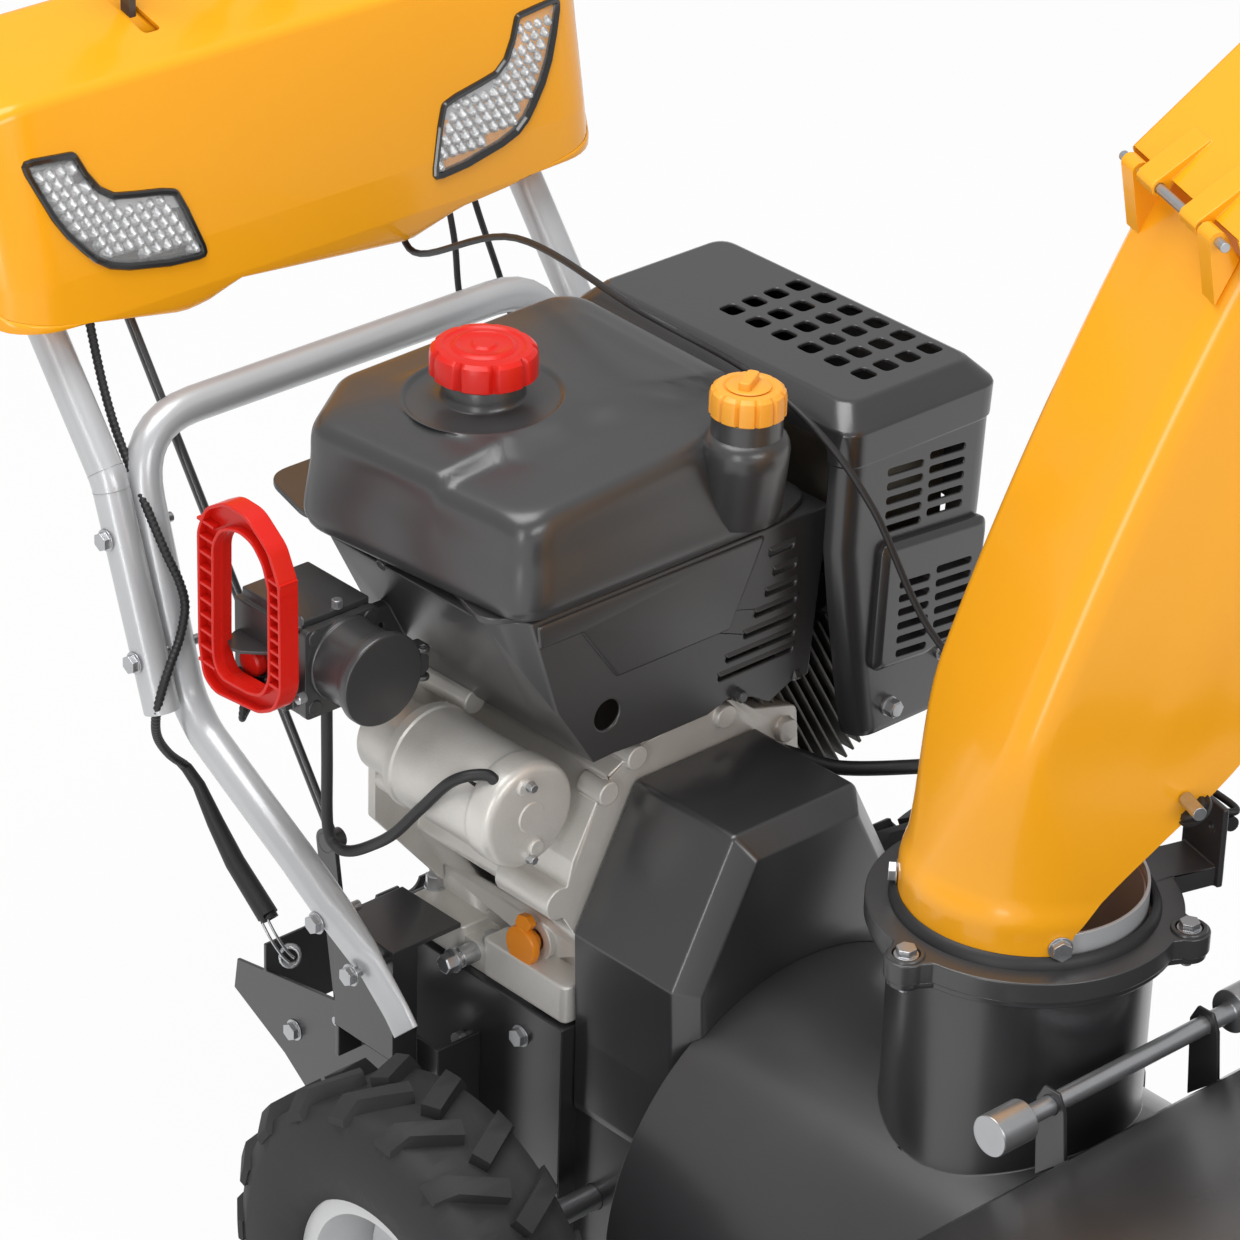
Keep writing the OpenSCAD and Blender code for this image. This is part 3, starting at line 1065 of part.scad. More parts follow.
// ---- The assembly ----
at_origin() {
    auger_housing();
    impeller_drum();
    scraper_bar();
    skid_shoes();
    shaft_bearings();
    auger_gearbox();
    auger_shaft();
    auger_rakes();
    impeller_shaft();
    impeller();
    auger_pulley();
    crank_pulley();
    v_belts();
    drive_disc();
    friction_wheel();
    hex_shaft();
    drive_chain();
    chassis_shell();
    belly_plate();
    tail_frame();
    belt_cover();
    axle();
    wheel_rims();
    tyres();
    crankcase();
    cylinder_head();
    engine_shroud();
    tank_plate();
    fuel_tank();
    fuel_cap();
    oil_neck();
    oil_cap();
    dipstick();
    muffler();
    muffler_guard();
    starter_motor();
    switch_box();
    socket_lid();
    start_button();
    recoil_cover();
    recoil_handle();
    lower_handle();
    upper_handles();
    console();
    headlights();
    grips();
    drive_lever();
    auger_lever();
    shift_lever();
    chute_lever();
    deflector_lever();
    chute_ring();
    chute_sleeve();
    chute();
    deflector();
    chute_pins();
    cables();
    shift_rod();
    clean_out_tool();
    fasteners();
}
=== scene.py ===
# %% [markdown]
# # A two stage snowblower under soft studio light
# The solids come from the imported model. This notebook gives each of them the rounded edges,
# small parts and finishes of the real machine, and never moves what the solids say.
# Lengths in the cells are millimetres, counted from the chute's foot as in the part's own source.

# %% Load the frame
import json
import math

import bmesh
import bpy
from mathutils import Matrix, Vector
from mathutils.bvhtree import BVHTree

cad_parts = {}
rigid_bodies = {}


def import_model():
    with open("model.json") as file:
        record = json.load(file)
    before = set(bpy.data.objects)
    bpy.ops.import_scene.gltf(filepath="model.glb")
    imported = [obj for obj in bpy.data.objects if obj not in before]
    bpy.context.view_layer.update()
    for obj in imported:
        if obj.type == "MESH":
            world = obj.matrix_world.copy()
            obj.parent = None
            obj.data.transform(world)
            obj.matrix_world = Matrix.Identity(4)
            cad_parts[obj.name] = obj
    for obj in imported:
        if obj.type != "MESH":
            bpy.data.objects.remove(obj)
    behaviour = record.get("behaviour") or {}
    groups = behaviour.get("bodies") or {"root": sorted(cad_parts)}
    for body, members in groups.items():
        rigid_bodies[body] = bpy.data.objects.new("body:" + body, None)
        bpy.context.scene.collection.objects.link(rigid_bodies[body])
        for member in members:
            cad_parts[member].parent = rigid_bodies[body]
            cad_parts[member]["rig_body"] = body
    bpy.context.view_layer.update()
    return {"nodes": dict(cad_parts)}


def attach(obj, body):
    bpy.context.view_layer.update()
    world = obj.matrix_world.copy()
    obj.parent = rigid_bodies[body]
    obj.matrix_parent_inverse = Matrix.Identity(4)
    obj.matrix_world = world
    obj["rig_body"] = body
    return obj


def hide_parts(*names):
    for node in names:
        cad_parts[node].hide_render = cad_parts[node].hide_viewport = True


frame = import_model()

solids = frame["nodes"]


FRAME_ORIGIN = (0, 320, 0)


def at(x, y, z):
    """A place in millimetres, counted from the chute, as a point of the frame in metres."""
    return Vector((x, y - FRAME_ORIGIN[1], z)) / 1000


# %% [markdown]
# ## The camera
# The photograph is a close view from the front right, taken with a long lens. The points
# below are pixels of the 1240 x 1240 photograph.

# %% Camera and image points
SIDE = 1240
FOCAL = 5200
azimuth, elevation, roll = (math.radians(v) for v in (-43.0, 28.7, 1.8))
lens_place = at(-2280.4, -2017.8, 2402.0)
back = Vector((math.sin(azimuth) * math.cos(elevation), -math.cos(azimuth) * math.cos(elevation),
               math.sin(elevation)))
level = Vector((math.cos(azimuth), math.sin(azimuth), 0))
right = math.cos(roll) * level + math.sin(roll) * back.cross(level)
above = -math.sin(roll) * level + math.cos(roll) * back.cross(level)
eye = bpy.data.cameras.new("eye")
camera = bpy.data.objects.new("camera", eye)
bpy.context.scene.collection.objects.link(camera)
camera.matrix_world = Matrix((right, above, back)).transposed().to_4x4()
camera.location = lens_place
eye.sensor_fit, eye.sensor_width, eye.lens = "AUTO", 36, 36 * FOCAL / SIDE
eye.clip_start, eye.clip_end = 0.1, 50
bpy.context.scene.camera = camera
bpy.context.view_layer.update()
print("lens", round(eye.lens, 2), "mm, camera", [round(v, 3) for v in camera.location])

# %% [markdown]
# ## Finishes
# Every finish is a small tree of nodes on the piece's own coordinates. `Wire` wraps a socket,
# so that a line of Python such as `1 - mask * 0.3` becomes Math nodes, and one method makes
# any other node. Colours are mixed with Mix nodes, because Math nodes would turn them grey.

# %% Wires and nodes


class Wire:
    """One socket of a node tree, with Python's signs for its sums."""

    def __init__(self, socket):
        self.socket, self.tree = socket, socket.id_data

    @classmethod
    def node(cls, tree, kind, sockets=None, out=0, stops=(), **settings):
        made = tree.nodes.new(kind)
        for key, value in settings.items():
            setattr(made, key, value)
        for i, (place, colour) in enumerate(stops):
            ramp = made.color_ramp.elements
            stop = ramp[i] if i < 2 else ramp.new(place)
            stop.position, stop.color = place, colour
        for key, value in (sockets or {}).items():
            if isinstance(value, Wire):
                tree.links.new(value.socket, made.inputs[key])
            else:
                made.inputs[key].default_value = value
        return cls(made.outputs[out])

    def maths(self, other, operation, swap=False):
        pair = (other, self) if swap else (self, other)
        return Wire.node(self.tree, "ShaderNodeMath", {0: pair[0], 1: pair[1]}, operation=operation)

    def __add__(self, other):
        return self.maths(other, "ADD")

    def __sub__(self, other):
        return self.maths(other, "SUBTRACT")

    def __rsub__(self, other):
        return self.maths(other, "SUBTRACT", True)

    def __mul__(self, other):
        return self.maths(other, "MULTIPLY")

    def __truediv__(self, other):
        return self.maths(other, "DIVIDE")

    __radd__, __rmul__ = __add__, __mul__

    def into(self, socket):
        self.tree.links.new(self.socket, socket)


# %% A finish


def paint(code):
    """A colour written as on the web, as the linear numbers that a shader takes."""
    parts = [int(code[i:i + 2], 16) / 255 for i in (1, 3, 5)]
    return [c / 12.92 if c <= 0.04045 else ((c + 0.055) / 1.055) ** 2.4 for c in parts] + [1]


def finish(name, light, dark, roughness, spread=0.1, patches=9, grain=900, bump=0.00003,
           **constants):
    """A finish that drifts between two colours in soft patches, over a fine grain."""
    material = bpy.data.materials.new(name)
    material.use_nodes = True
    tree = material.node_tree
    shader = tree.nodes["Principled BSDF"]
    place = Wire.node(tree, "ShaderNodeTexCoord", out="Object")
    cloud = Wire.node(tree, "ShaderNodeTexNoise", {"Vector": place, "Scale": patches, "Detail": 3.0})
    speck = Wire.node(tree, "ShaderNodeTexNoise", {"Vector": place, "Scale": grain, "Detail": 2.0})
    Wire.node(tree, "ShaderNodeMix", {"Factor": cloud * 0.8 + speck * 0.2, 6: paint(dark), 7: paint(light)},
              out=2, data_type="RGBA").into(shader.inputs["Base Color"])
    (cloud * spread + (roughness - spread / 2)).into(shader.inputs["Roughness"])
    Wire.node(tree, "ShaderNodeBump", {"Height": speck, "Strength": 1.0, "Distance": bump}).into(
        shader.inputs["Normal"])
    for key, value in constants.items():
        shader.inputs[key.replace("_", " ")].default_value = value
    return material


FINISHES = {
    "black_paint": finish("black powder coat", "#343436", "#29292b", 0.3, grain=500, bump=0.00004,
                          Specular_IOR_Level=0.8, Coat_Weight=0.35, Coat_Roughness=0.18),
    "orange_paint": finish("orange enamel", "#ffb01e", "#fba814", 0.24, 0.04, 4, 160, 0.00003,
                           Specular_IOR_Level=0.38, Coat_Weight=0.25, Coat_Roughness=0.08),
    "auger_paint": finish("auger enamel", "#f2a01e", "#e6930f", 0.38, grain=300, Coat_Weight=0.3),
    "bare_steel": finish("zinc plate", "#c9cacc", "#a9abae", 0.3, 0.16, 40, Metallic=0.85),
    "tube_steel": finish("silver enamel", "#cdced0", "#c2c4c6", 0.32, 0.06, 6, 700, Metallic=0.3,
                         Coat_Weight=0.25),
    "cast_aluminium": finish("cast aluminium", "#e6e3de", "#cbc8c2", 0.36, 0.16, 30, 420, 0.00018,
                             Metallic=0.3),
    # A dark grey casting, far darker than the cast aluminium, for the cylinder head and the lamp bowls.
    "dark_casting": finish("dark grey cylinder casting", "#6e6b66", "#4f4d49", 0.5, 0.2, 30, 420, 0.0002,
                           Metallic=0.4),
    "cast_iron": finish("cast iron", "#56585c", "#46484c", 0.55, grain=350, bump=0.0003, Metallic=0.3),
    "black_plastic": finish("moulded black plastic", "#3f3f40", "#353536", 0.31, 0.08, 7, 1300, 0.00003,
                            Specular_IOR_Level=0.8),
    "red_plastic": finish("moulded red plastic", "#df2318", "#cf1d13", 0.3, 0.06, 12, 800,
                          Specular_IOR_Level=0.35),
    "yellow_plastic": finish("moulded yellow plastic", "#fbb040", "#f4a52e", 0.36, 0.06, 12, 800),
    "orange_plastic": finish("moulded orange plastic", "#f7981f", "#ee8a12", 0.36, 0.06, 12, 800),
    "rubber": finish("black rubber", "#2a2a2c", "#222224", 0.5, grain=700, bump=0.00005),
    "tyre": finish("tyre rubber", "#2f2f31", "#252527", 0.68, grain=420, bump=0.00012),
    "rim_paint": finish("rim enamel", "#dadbdc", "#cfd0d1", 0.34, 0.05, 6, 400, Coat_Weight=0.4),
    "muffler_steel": finish("heated steel", "#8f887c", "#6d675e", 0.5, 0.2, 25, 500, Metallic=0.8),
    "bezel": finish("gloss black bezel", "#232325", "#1b1b1d", 0.14, 0.04, 12, 900, 0.00001,
                    Coat_Weight=0.6),
    # The lamp reflector's colour swings from near white to dark grey in small spots: painted glints and
    # painted reflections of a faceted mirror, on a weakly metallic surface.
    "reflector": finish("lamp reflector with painted glints", "#fbfcfd", "#3d4044", 0.16, 0.1, 330, 420, 0.0004, Metallic=0.2),
    "clear_lens": finish("clear lamp lens", "#ffffff", "#f4f8fa", 0.04, 0.02, 30, 200, 0.00001, Alpha=0.14),
}
print(len(FINISHES), "finishes")

# %% [markdown]
# ## Studio
# A pale floor and an even white world. The camera and mirrors see plain white behind the
# machine, while the floor keeps its soft shadow.

# %% Floor, world and lamps
WHITE = (1, 1, 1, 1)
FLOOR_HALF, FLOOR_DROP = 9, 0.0005
FLOOR_GLOW = 0.95
MIRRORED_WORLD = 0.1


def linked(name, mesh):
    piece = bpy.data.objects.new(name, mesh)
    bpy.context.scene.collection.objects.link(piece)
    return piece


def ray_kind(tree, kind):
    return Wire.node(tree, "ShaderNodeLightPath", out="Is " + kind + " Ray")


def studio_floor():
    mesh = bpy.data.meshes.new("floor")
    corners = [(x * FLOOR_HALF, y * FLOOR_HALF, -FLOOR_DROP) for x, y in ((-1, -1), (1, -1), (1, 1), (-1, 1))]
    mesh.from_pydata(corners, [], [(0, 1, 2, 3)])
    material = bpy.data.materials.new("pale floor")
    material.use_nodes = True
    tree = material.node_tree
    shader = tree.nodes["Principled BSDF"]
    shader.inputs["Base Color"].default_value = (0.86, 0.86, 0.86, 1)
    shader.inputs["Roughness"].default_value = 0.9
    glow = Wire.node(tree, "ShaderNodeEmission", {"Color": WHITE, "Strength": 1.0})
    seen = ray_kind(tree, "Camera") + ray_kind(tree, "Glossy") + ray_kind(tree, "Transmission")
    mix = Wire.node(tree, "ShaderNodeMixShader", {0: seen * FLOOR_GLOW, 1: Wire(shader.outputs[0]), 2: glow})
    mix.into(tree.nodes["Material Output"].inputs["Surface"])
    mesh.materials.append(material)
    linked("floor", mesh)


def studio_world(strength):
    world = bpy.data.worlds.new("studio")
    bpy.context.scene.world = world
    world.use_nodes = True
    tree = world.node_tree
    plain = tree.nodes["Background"]
    plain.inputs["Strength"].default_value = strength
    plain.inputs["Color"].default_value = WHITE
    white = Wire.node(tree, "ShaderNodeBackground", {"Color": WHITE, "Strength": 1.0})
    seen = ray_kind(tree, "Camera") + ray_kind(tree, "Glossy") * MIRRORED_WORLD
    mix = Wire.node(tree, "ShaderNodeMixShader", {0: seen, 1: Wire(plain.outputs[0]), 2: white})
    mix.into(tree.nodes["World Output"].inputs["Surface"])


def softbox(name, place, target, size, watts):
    lamp = bpy.data.lights.new(name, "AREA")
    lamp.shape, lamp.size, lamp.size_y, lamp.energy = "RECTANGLE", size[0], size[1], watts
    holder = linked(name, lamp)
    holder.location = place
    holder.rotation_euler = (Vector(target) - Vector(place)).to_track_quat("-Z", "Y").to_euler()


studio_floor()
studio_world(0.46)
softbox("top", (-0.5, 0.3, 3.4), (0, 0.1, 0.6), (1.7, 2.4), 62)
softbox("left", (-3.2, -1.5, 1.3), (0, 0, 0.6), (0.7, 2.2), 26)
softbox("front", (-0.5, -3.7, 2.3), (0, 0.2, 0.7), (2.4, 1.2), 44)
bpy.context.scene.view_settings.view_transform = "Standard"
print("studio ready")

# %% [markdown]
# ## Rounded edges
# Pressed steel, castings and mouldings have no knife edges: a small radius catches the light.
# A copy of each solid is merged, its flat faces are joined again, and a bevel runs along
# its sharp edges. The copy then stands for the solid.

# %% Bevel a copy of a solid
dressed = {}
MERGE_DISTANCE = 0.00001
FLAT_ANGLE = math.radians(0.6)


def applied(piece):
    """The piece with its modifiers made part of its mesh."""
    graph = bpy.context.evaluated_depsgraph_get()
    mesh = bpy.data.meshes.new_from_object(piece.evaluated_get(graph), preserve_all_data_layers=True,
                                           depsgraph=graph)
    piece.modifiers.clear()
    piece.data = mesh
    return piece


def rounded_edges(piece, width, segments=2, angle=32):
    """Round the edges that turn by more than the angle, and shade the rest smooth."""
    bevel = piece.modifiers.new("edges", "BEVEL")
    bevel.width, bevel.segments, bevel.limit_method = width / 1000, segments, "ANGLE"
    bevel.angle_limit, bevel.use_clamp_overlap = math.radians(angle), False
    bevel.miter_outer = "MITER_ARC"
    even = piece.modifiers.new("even", "WEIGHTED_NORMAL")
    even.keep_sharp, even.weight = True, 60
    for face in piece.data.polygons:
        face.use_smooth = True
    return applied(piece)


def merged_copy(node):
    """The solid's mesh with its loose triangles merged and its flat faces joined."""
    mesh = solids[node].data.copy()
    bm = bmesh.new()
    bm.from_mesh(mesh)
    bmesh.ops.remove_doubles(bm, verts=bm.verts, dist=MERGE_DISTANCE)
    bmesh.ops.dissolve_limit(bm, angle_limit=FLAT_ANGLE, verts=bm.verts, edges=bm.edges)
    bm.to_mesh(mesh)
    bm.free()
    mesh.materials.clear()
    return linked("dressed_" + node, mesh)


def dress(node, look, width):
    """A solid with rounded edges, on the solid's own body, in its finish."""
    piece = merged_copy(node)
    if width:
        rounded_edges(piece, width)
    piece.data.materials.append(FINISHES[look])
    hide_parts(node)
    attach(piece, solids[node]["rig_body"])
    dressed[node] = piece


# %% Dress the solids that keep their own shape
LOOKS = {
    "auger_housing": ("black_paint", 0.9), "impeller_drum": ("black_paint", 1.0),
    "scraper_bar": ("black_paint", 0.8), "skid_shoes": ("black_paint", 1.0),
    "shaft_bearings": ("bare_steel", 0.7), "auger_gearbox": ("cast_iron", 2.0),
    "auger_shaft": ("bare_steel", 0.6), "auger_rakes": ("auger_paint", 0.5),
    "impeller_shaft": ("bare_steel", 0.6), "impeller": ("auger_paint", 0.8),
    "auger_pulley": ("bare_steel", 0.6), "crank_pulley": ("bare_steel", 0.6), "v_belts": ("rubber", 0.8),
    "drive_disc": ("bare_steel", 0.6), "friction_wheel": ("rubber", 0.6), "hex_shaft": ("bare_steel", 0.4),
    "drive_chain": ("bare_steel", 0.4), "chassis_shell": ("black_paint", 1.0),
    "belly_plate": ("black_paint", 0.8), "tail_frame": ("black_paint", 0.8), "axle": ("bare_steel", 0.6),
    "wheel_rims": ("rim_paint", 1.0), "tyres": ("tyre", 0.0), "crankcase": ("cast_aluminium", 1.5),
    "cylinder_head": ("dark_casting", 0.8), "engine_shroud": ("black_plastic", 1.4),
    "muffler": ("muffler_steel", 1.0), "switch_box": ("black_plastic", 1.5),
    "recoil_cover": ("black_plastic", 2.0), "upper_handles": ("tube_steel", 0.4), "grips": ("rubber", 0.6),
    "drive_lever": ("black_plastic", 1.0), "auger_lever": ("black_plastic", 1.0),
    "shift_lever": ("black_plastic", 0.8), "chute_lever": ("black_plastic", 0.8),
    "deflector_lever": ("black_plastic", 0.8), "chute_ring": ("black_plastic", 1.4),
    "chute_sleeve": ("tube_steel", 0.6), "deflector": ("orange_paint", 0.8),
    "chute_pins": ("bare_steel", 0.5), "shift_rod": ("black_paint", 0.5),
    "clean_out_tool": ("bare_steel", 1.0), "fasteners": ("bare_steel", 0.5),
}
for node, (look, width) in LOOKS.items():
    dress(node, look, width)
print(len(dressed), "solids dressed,", sum(len(p.data.polygons) for p in dressed.values()), "faces")

# %% [markdown]
# ## Pieces with shapes of their own
# Some pieces have shapes that a few rounded edges don't reach: the tank's soft shoulders, the
# rolled chute, the moulded console. They could be sculpted, but a shape that comes from numbers
# is easier to mend. So each is a closed shell of points in millimetres: a skin through rings,
# an outline pushed through a thickness, or a profile turned round an axis.

# %% Shells of points


def skin(rings, band=False):
    """A closed shell through rings of points. With band, each end is closed across a thin wall."""
    n = len(rings[0])
    points = [p for ring in rings for p in ring]
    faces = [(i * n + k, i * n + (k + 1) % n, (i + 1) * n + (k + 1) % n, (i + 1) * n + k)
             for i in range(len(rings) - 1) for k in range(n)]
    last = (len(rings) - 1) * n
    if band:
        for start in (0, last):
            faces += [(start + k, start + k + 1, start + n - 2 - k, start + n - 1 - k)
                      for k in range(n // 2 - 1)]
    else:
        faces += [tuple(range(n)), tuple(range(last, last + n))]
    return points, faces


def hoop(rings):
    """A closed shell through rings that come back to the first one, as in a frame or a torus."""
    n, m = len(rings[0]), len(rings)
    points = [p for ring in rings for p in ring]
    return points, [(i * n + k, i * n + (k + 1) % n, (i + 1) % m * n + (k + 1) % n, (i + 1) % m * n + k)
                    for i in range(m) for k in range(n)]


def spot(p, h, axis):
    """A point of an outline drawn across an axis, at the height h along it."""
    return {"x": (h, p[0], p[1]), "y": (p[0], h, p[1]), "z": (p[0], p[1], h)}[axis]


def slab(outline, low, high, axis="y"):
    """An outline pushed from low to high along an axis."""
    return skin([[spot(p, low, axis) for p in outline], [spot(p, high, axis) for p in outline]])


def circle(radius, count):
    """Points round the origin."""
    return [(radius * math.cos(a), radius * math.sin(a))
            for a in (2 * math.pi * k / count for k in range(count))]


def turned(profile, place, axis, count, closed=False):
    """A profile of (radius, height) turned about an axis through the place, or a closed profile."""
    rings = []
    for radius, height in profile:
        ring = [spot(p, height, axis) for p in circle(radius, count)]
        rings.append([(place[0] + x, place[1] + y, place[2] + z) for x, y, z in ring])
    return hoop(rings) if closed else skin(rings)


def box(low, high):
    """Four corners of an upright rectangle, from its lowest to its highest corner."""
    return [low, (high[0], low[1]), high, (low[0], high[1])]


def corners_of(outline):
    """Every corner of a closed outline, between its two neighbours."""
    return [tuple(Vector(p) for p in corner)
            for corner in zip(outline[-1:] + outline[:-1], outline, outline[1:] + outline[:1])]


def eased(a, b, c, radius, room, steps):
    """Points of a curve round the corner b, tighter where its sides leave no room."""
    u, v = (a - b).normalized(), (c - b).normalized()
    half = max(1e-3, math.acos(max(-1, min(1, u.dot(v)))) / 2)
    reach = min(radius / math.tan(half), room * (a - b).length, room * (c - b).length)
    start, end = b + u * reach, b + v * reach
    return [(1 - t) ** 2 * start + 2 * t * (1 - t) * b + t * t * end
            for t in (k / steps for k in range(steps + 1))]


def rounded(outline, radius, steps=5):
    """An outline with every corner rounded."""
    return [tuple(p) for corner in corners_of(outline) for p in eased(*corner, radius, 0.45, steps)]


def block(low, high, radius, start, end, axis="y"):
    """An upright rectangle with rounded corners, pushed from start to end along an axis."""
    return slab(rounded(box(low, high), radius), start, end, axis)


def inset(outline, g):
    """A counter-clockwise outline moved inward by g."""
    result = []
    for a, b, c in corners_of(outline):
        u, v = (b - a).normalized(), (c - b).normalized()
        m, k = Vector((-u.y, u.x)), Vector((-v.y, v.x))
        result.append(tuple(b + g * (m + k) / (1 + m.dot(k))))
    return result


# %% Shells into pieces


def mesh_of(name, shells):
    """One mesh from closed shells, with faces turned outward."""
    bm = bmesh.new()
    for points, faces in shells:
        corners = [bm.verts.new(at(*p)) for p in points]
        for face in faces:
            bm.faces.new([corners[k] for k in face])
    bmesh.ops.recalc_face_normals(bm, faces=bm.faces)
    mesh = bpy.data.meshes.new(name)
    bm.to_mesh(mesh)
    bm.free()
    return mesh


def cut(piece, shells):
    """Take closed shells away from a piece."""
    tool = linked("cutter", mesh_of("cutter", shells))
    knife = piece.modifiers.new("cut", "BOOLEAN")
    knife.object, knife.operation, knife.solver, knife.use_self = tool, "DIFFERENCE", "EXACT", True
    applied(piece)
    bpy.data.objects.remove(tool)


def make_piece(name, shells, body, look, replaces=(), edge=0.0, angle=32, segments=2, holes=()):
    """A finished piece: shells, less their holes, with rounded edges, on a body, in a finish."""
    piece = linked(name, mesh_of(name, shells))
    if holes:
        cut(piece, holes)
    for face in piece.data.polygons:
        face.use_smooth = True
    if edge:
        rounded_edges(piece, edge, segments, angle)
    else:
        piece.data.set_sharp_from_angle(angle=math.radians(angle))
    piece.data.materials.clear()
    piece.data.materials.append(FINISHES[look])
    if replaces:
        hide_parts(*replaces)
    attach(piece, body)
    made[name] = piece
    return piece


made = {}
print("shell helpers ready")

# %% [markdown]
# ## Geometry Nodes for what repeats
# Screw heads, the corrugated sleeve on the clutch cable, its return spring, the lamps' reflectors
# and the ribs of the pull handle all repeat one small form. Each is a small tree with named sizes.
# Its result is turned into a plain mesh, so that it travels with the model.

# %% Grow a tree's result into a mesh


def tree_of(name, sizes):
    """An empty Geometry Nodes tree with named sizes, and its inputs as wires."""
    tree = bpy.data.node_groups.new(name, "GeometryNodeTree")
    tree.interface.new_socket("Geometry", in_out="INPUT", socket_type="NodeSocketGeometry")
    tree.interface.new_socket("Geometry", in_out="OUTPUT", socket_type="NodeSocketGeometry")
    for label, value in sizes.items():
        kind = {int: "NodeSocketInt", float: "NodeSocketFloat"}.get(type(value), "NodeSocketMaterial")
        socket = tree.interface.new_socket(label, in_out="INPUT", socket_type=kind)
        if value is not None:
            socket.default_value = value
    inputs = tree.nodes.new("NodeGroupInput")
    return tree, {s.name: Wire(s) for s in inputs.outputs if s.name}


def ends_in(tree, shape, material):
    """Close a tree with Realize Instances and Set Material."""
    real = Wire.node(tree, "GeometryNodeRealizeInstances", {0: shape})
    coated = Wire.node(tree, "GeometryNodeSetMaterial", {"Geometry": real, "Material": material})
    coated.into(tree.nodes.new("NodeGroupOutput").inputs[0])


def at_points(tree, given, shape, **sockets):
    """The shape at every point of the seed."""
    return Wire.node(tree, "GeometryNodeInstanceOnPoints",
                     {"Points": given["Geometry"], "Instance": shape, **sockets})


def seed_of(name, places, lines=False):
    """A mesh of loose points, or of points along a line, in millimetres."""
    seed = bpy.data.meshes.new(name)
    points = [tuple(at(*p)) for p in places]
    seed.from_pydata(points, [(i, i + 1) for i in range(len(points) - 1)] if lines else [], [])
    return seed


def grow(name, seed, tree, sizes, body, look, smooth_angle=40):
    """Run a tree on a seed mesh, keep the result as a plain mesh, and ride it on a body."""
    piece = linked(name, seed)
    modifier = piece.modifiers.new("grow", "NODES")
    modifier.node_group = tree
    wanted = dict(sizes, Material=FINISHES[look])
    for item in tree.interface.items_tree:
        if item.in_out == "INPUT" and item.name in wanted:
            modifier[item.identifier] = wanted[item.name]
    applied(piece)
    mesh = piece.data
    for face in mesh.polygons:
        face.use_smooth = True
    mesh.set_sharp_from_angle(angle=math.radians(smooth_angle))
    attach(piece, body)
    made[name] = piece
    return piece


# %% Screw heads


def screw_tree():
    """A hexagon head on a washer at every point, turned to the point's own axis and width."""
    tree, given = tree_of("screw heads", {"Head Height": 0.65, "Washer": 1.28, "Stub": 0.0, "Material": None})
    hexagon = Wire.node(tree, "GeometryNodeMeshCylinder", {"Vertices": 6, "Radius": 0.58,
                                                           "Depth": given["Head Height"]})
    chamfer = Wire.node(tree, "GeometryNodeMeshCone", {"Vertices": 18, "Radius Top": 0.42,
                                                       "Radius Bottom": 0.5, "Depth": 0.08})
    disc = Wire.node(tree, "GeometryNodeMeshCylinder", {"Vertices": 28, "Radius": given["Washer"] * 0.5,
                                                        "Depth": 0.14})
    stub = Wire.node(tree, "GeometryNodeMeshCylinder", {"Vertices": 16, "Radius": 0.27,
                                                        "Depth": given["Stub"] + 0.1})
    height = given["Head Height"]

    def lifted(shape, z):
        shift = Wire.node(tree, "ShaderNodeCombineXYZ", {"Z": z})
        return Wire.node(tree, "GeometryNodeTransform", {"Geometry": shape, "Translation": shift})

    parts = [lifted(hexagon, height * 0.5 + 0.14), lifted(chamfer, height + 0.14), lifted(disc, 0.07),
             lifted(stub, height + 0.14 + given["Stub"] * 0.5)]
    join = tree.nodes.new("GeometryNodeJoinGeometry")
    for part in parts:
        tree.links.new(part.socket, join.inputs[0])
    axis = Wire.node(tree, "GeometryNodeInputNamedAttribute", {"Name": "axis"}, data_type="FLOAT_VECTOR")
    width = Wire.node(tree, "GeometryNodeInputNamedAttribute", {"Name": "width"}, data_type="FLOAT")
    turn = Wire.node(tree, "FunctionNodeAlignRotationToVector", {"Vector": axis}, axis="Z")
    size = Wire.node(tree, "ShaderNodeCombineXYZ", {"X": width, "Y": width, "Z": width})
    heads = at_points(tree, given, Wire(join.outputs[0]), Rotation=turn, Scale=size)
    ends_in(tree, heads, given["Material"])
    return tree


SCREWS = screw_tree()


def screws(name, rows, body, look, **sizes):
    """Screw heads at (place in the frame, axis, width in millimetres)."""
    seed = bpy.data.meshes.new(name)
    seed.from_pydata([tuple(place) for place, _, _ in rows], [], [])
    seed.attributes.new("axis", "FLOAT_VECTOR", "POINT").data.foreach_set(
        "vector", [c for _, axis, _ in rows for c in axis])
    seed.attributes.new("width", "FLOAT", "POINT").data.foreach_set("value", [w / 1000 for _, _, w in rows])
    grow(name, seed, SCREWS, {k.replace("_", " "): v for k, v in sizes.items()}, body, look)


# %% A sleeve with ribs, swept along a cable


def blended(values, t):
    """A smooth curve through values at t = 0, 1, 2 and so on."""
    i = min(len(values) - 2, int(t))
    f = t - i
    a, b, c, d = (values[max(0, min(len(values) - 1, i + k))] for k in (-1, 0, 1, 2))
    return 0.5 * (2 * b + (c - a) * f + (2 * a - 5 * b + 4 * c - d) * f * f
                  + (3 * b - a - 3 * c + d) * f ** 3)


def curve_of(points, steps):
    """Points on a smooth curve through given points, in millimetres."""
    corners = [Vector(p) for p in points]
    return [blended(corners, i + j / steps)
            for i in range(len(points) - 1) for j in range(steps)] + corners[-1:]


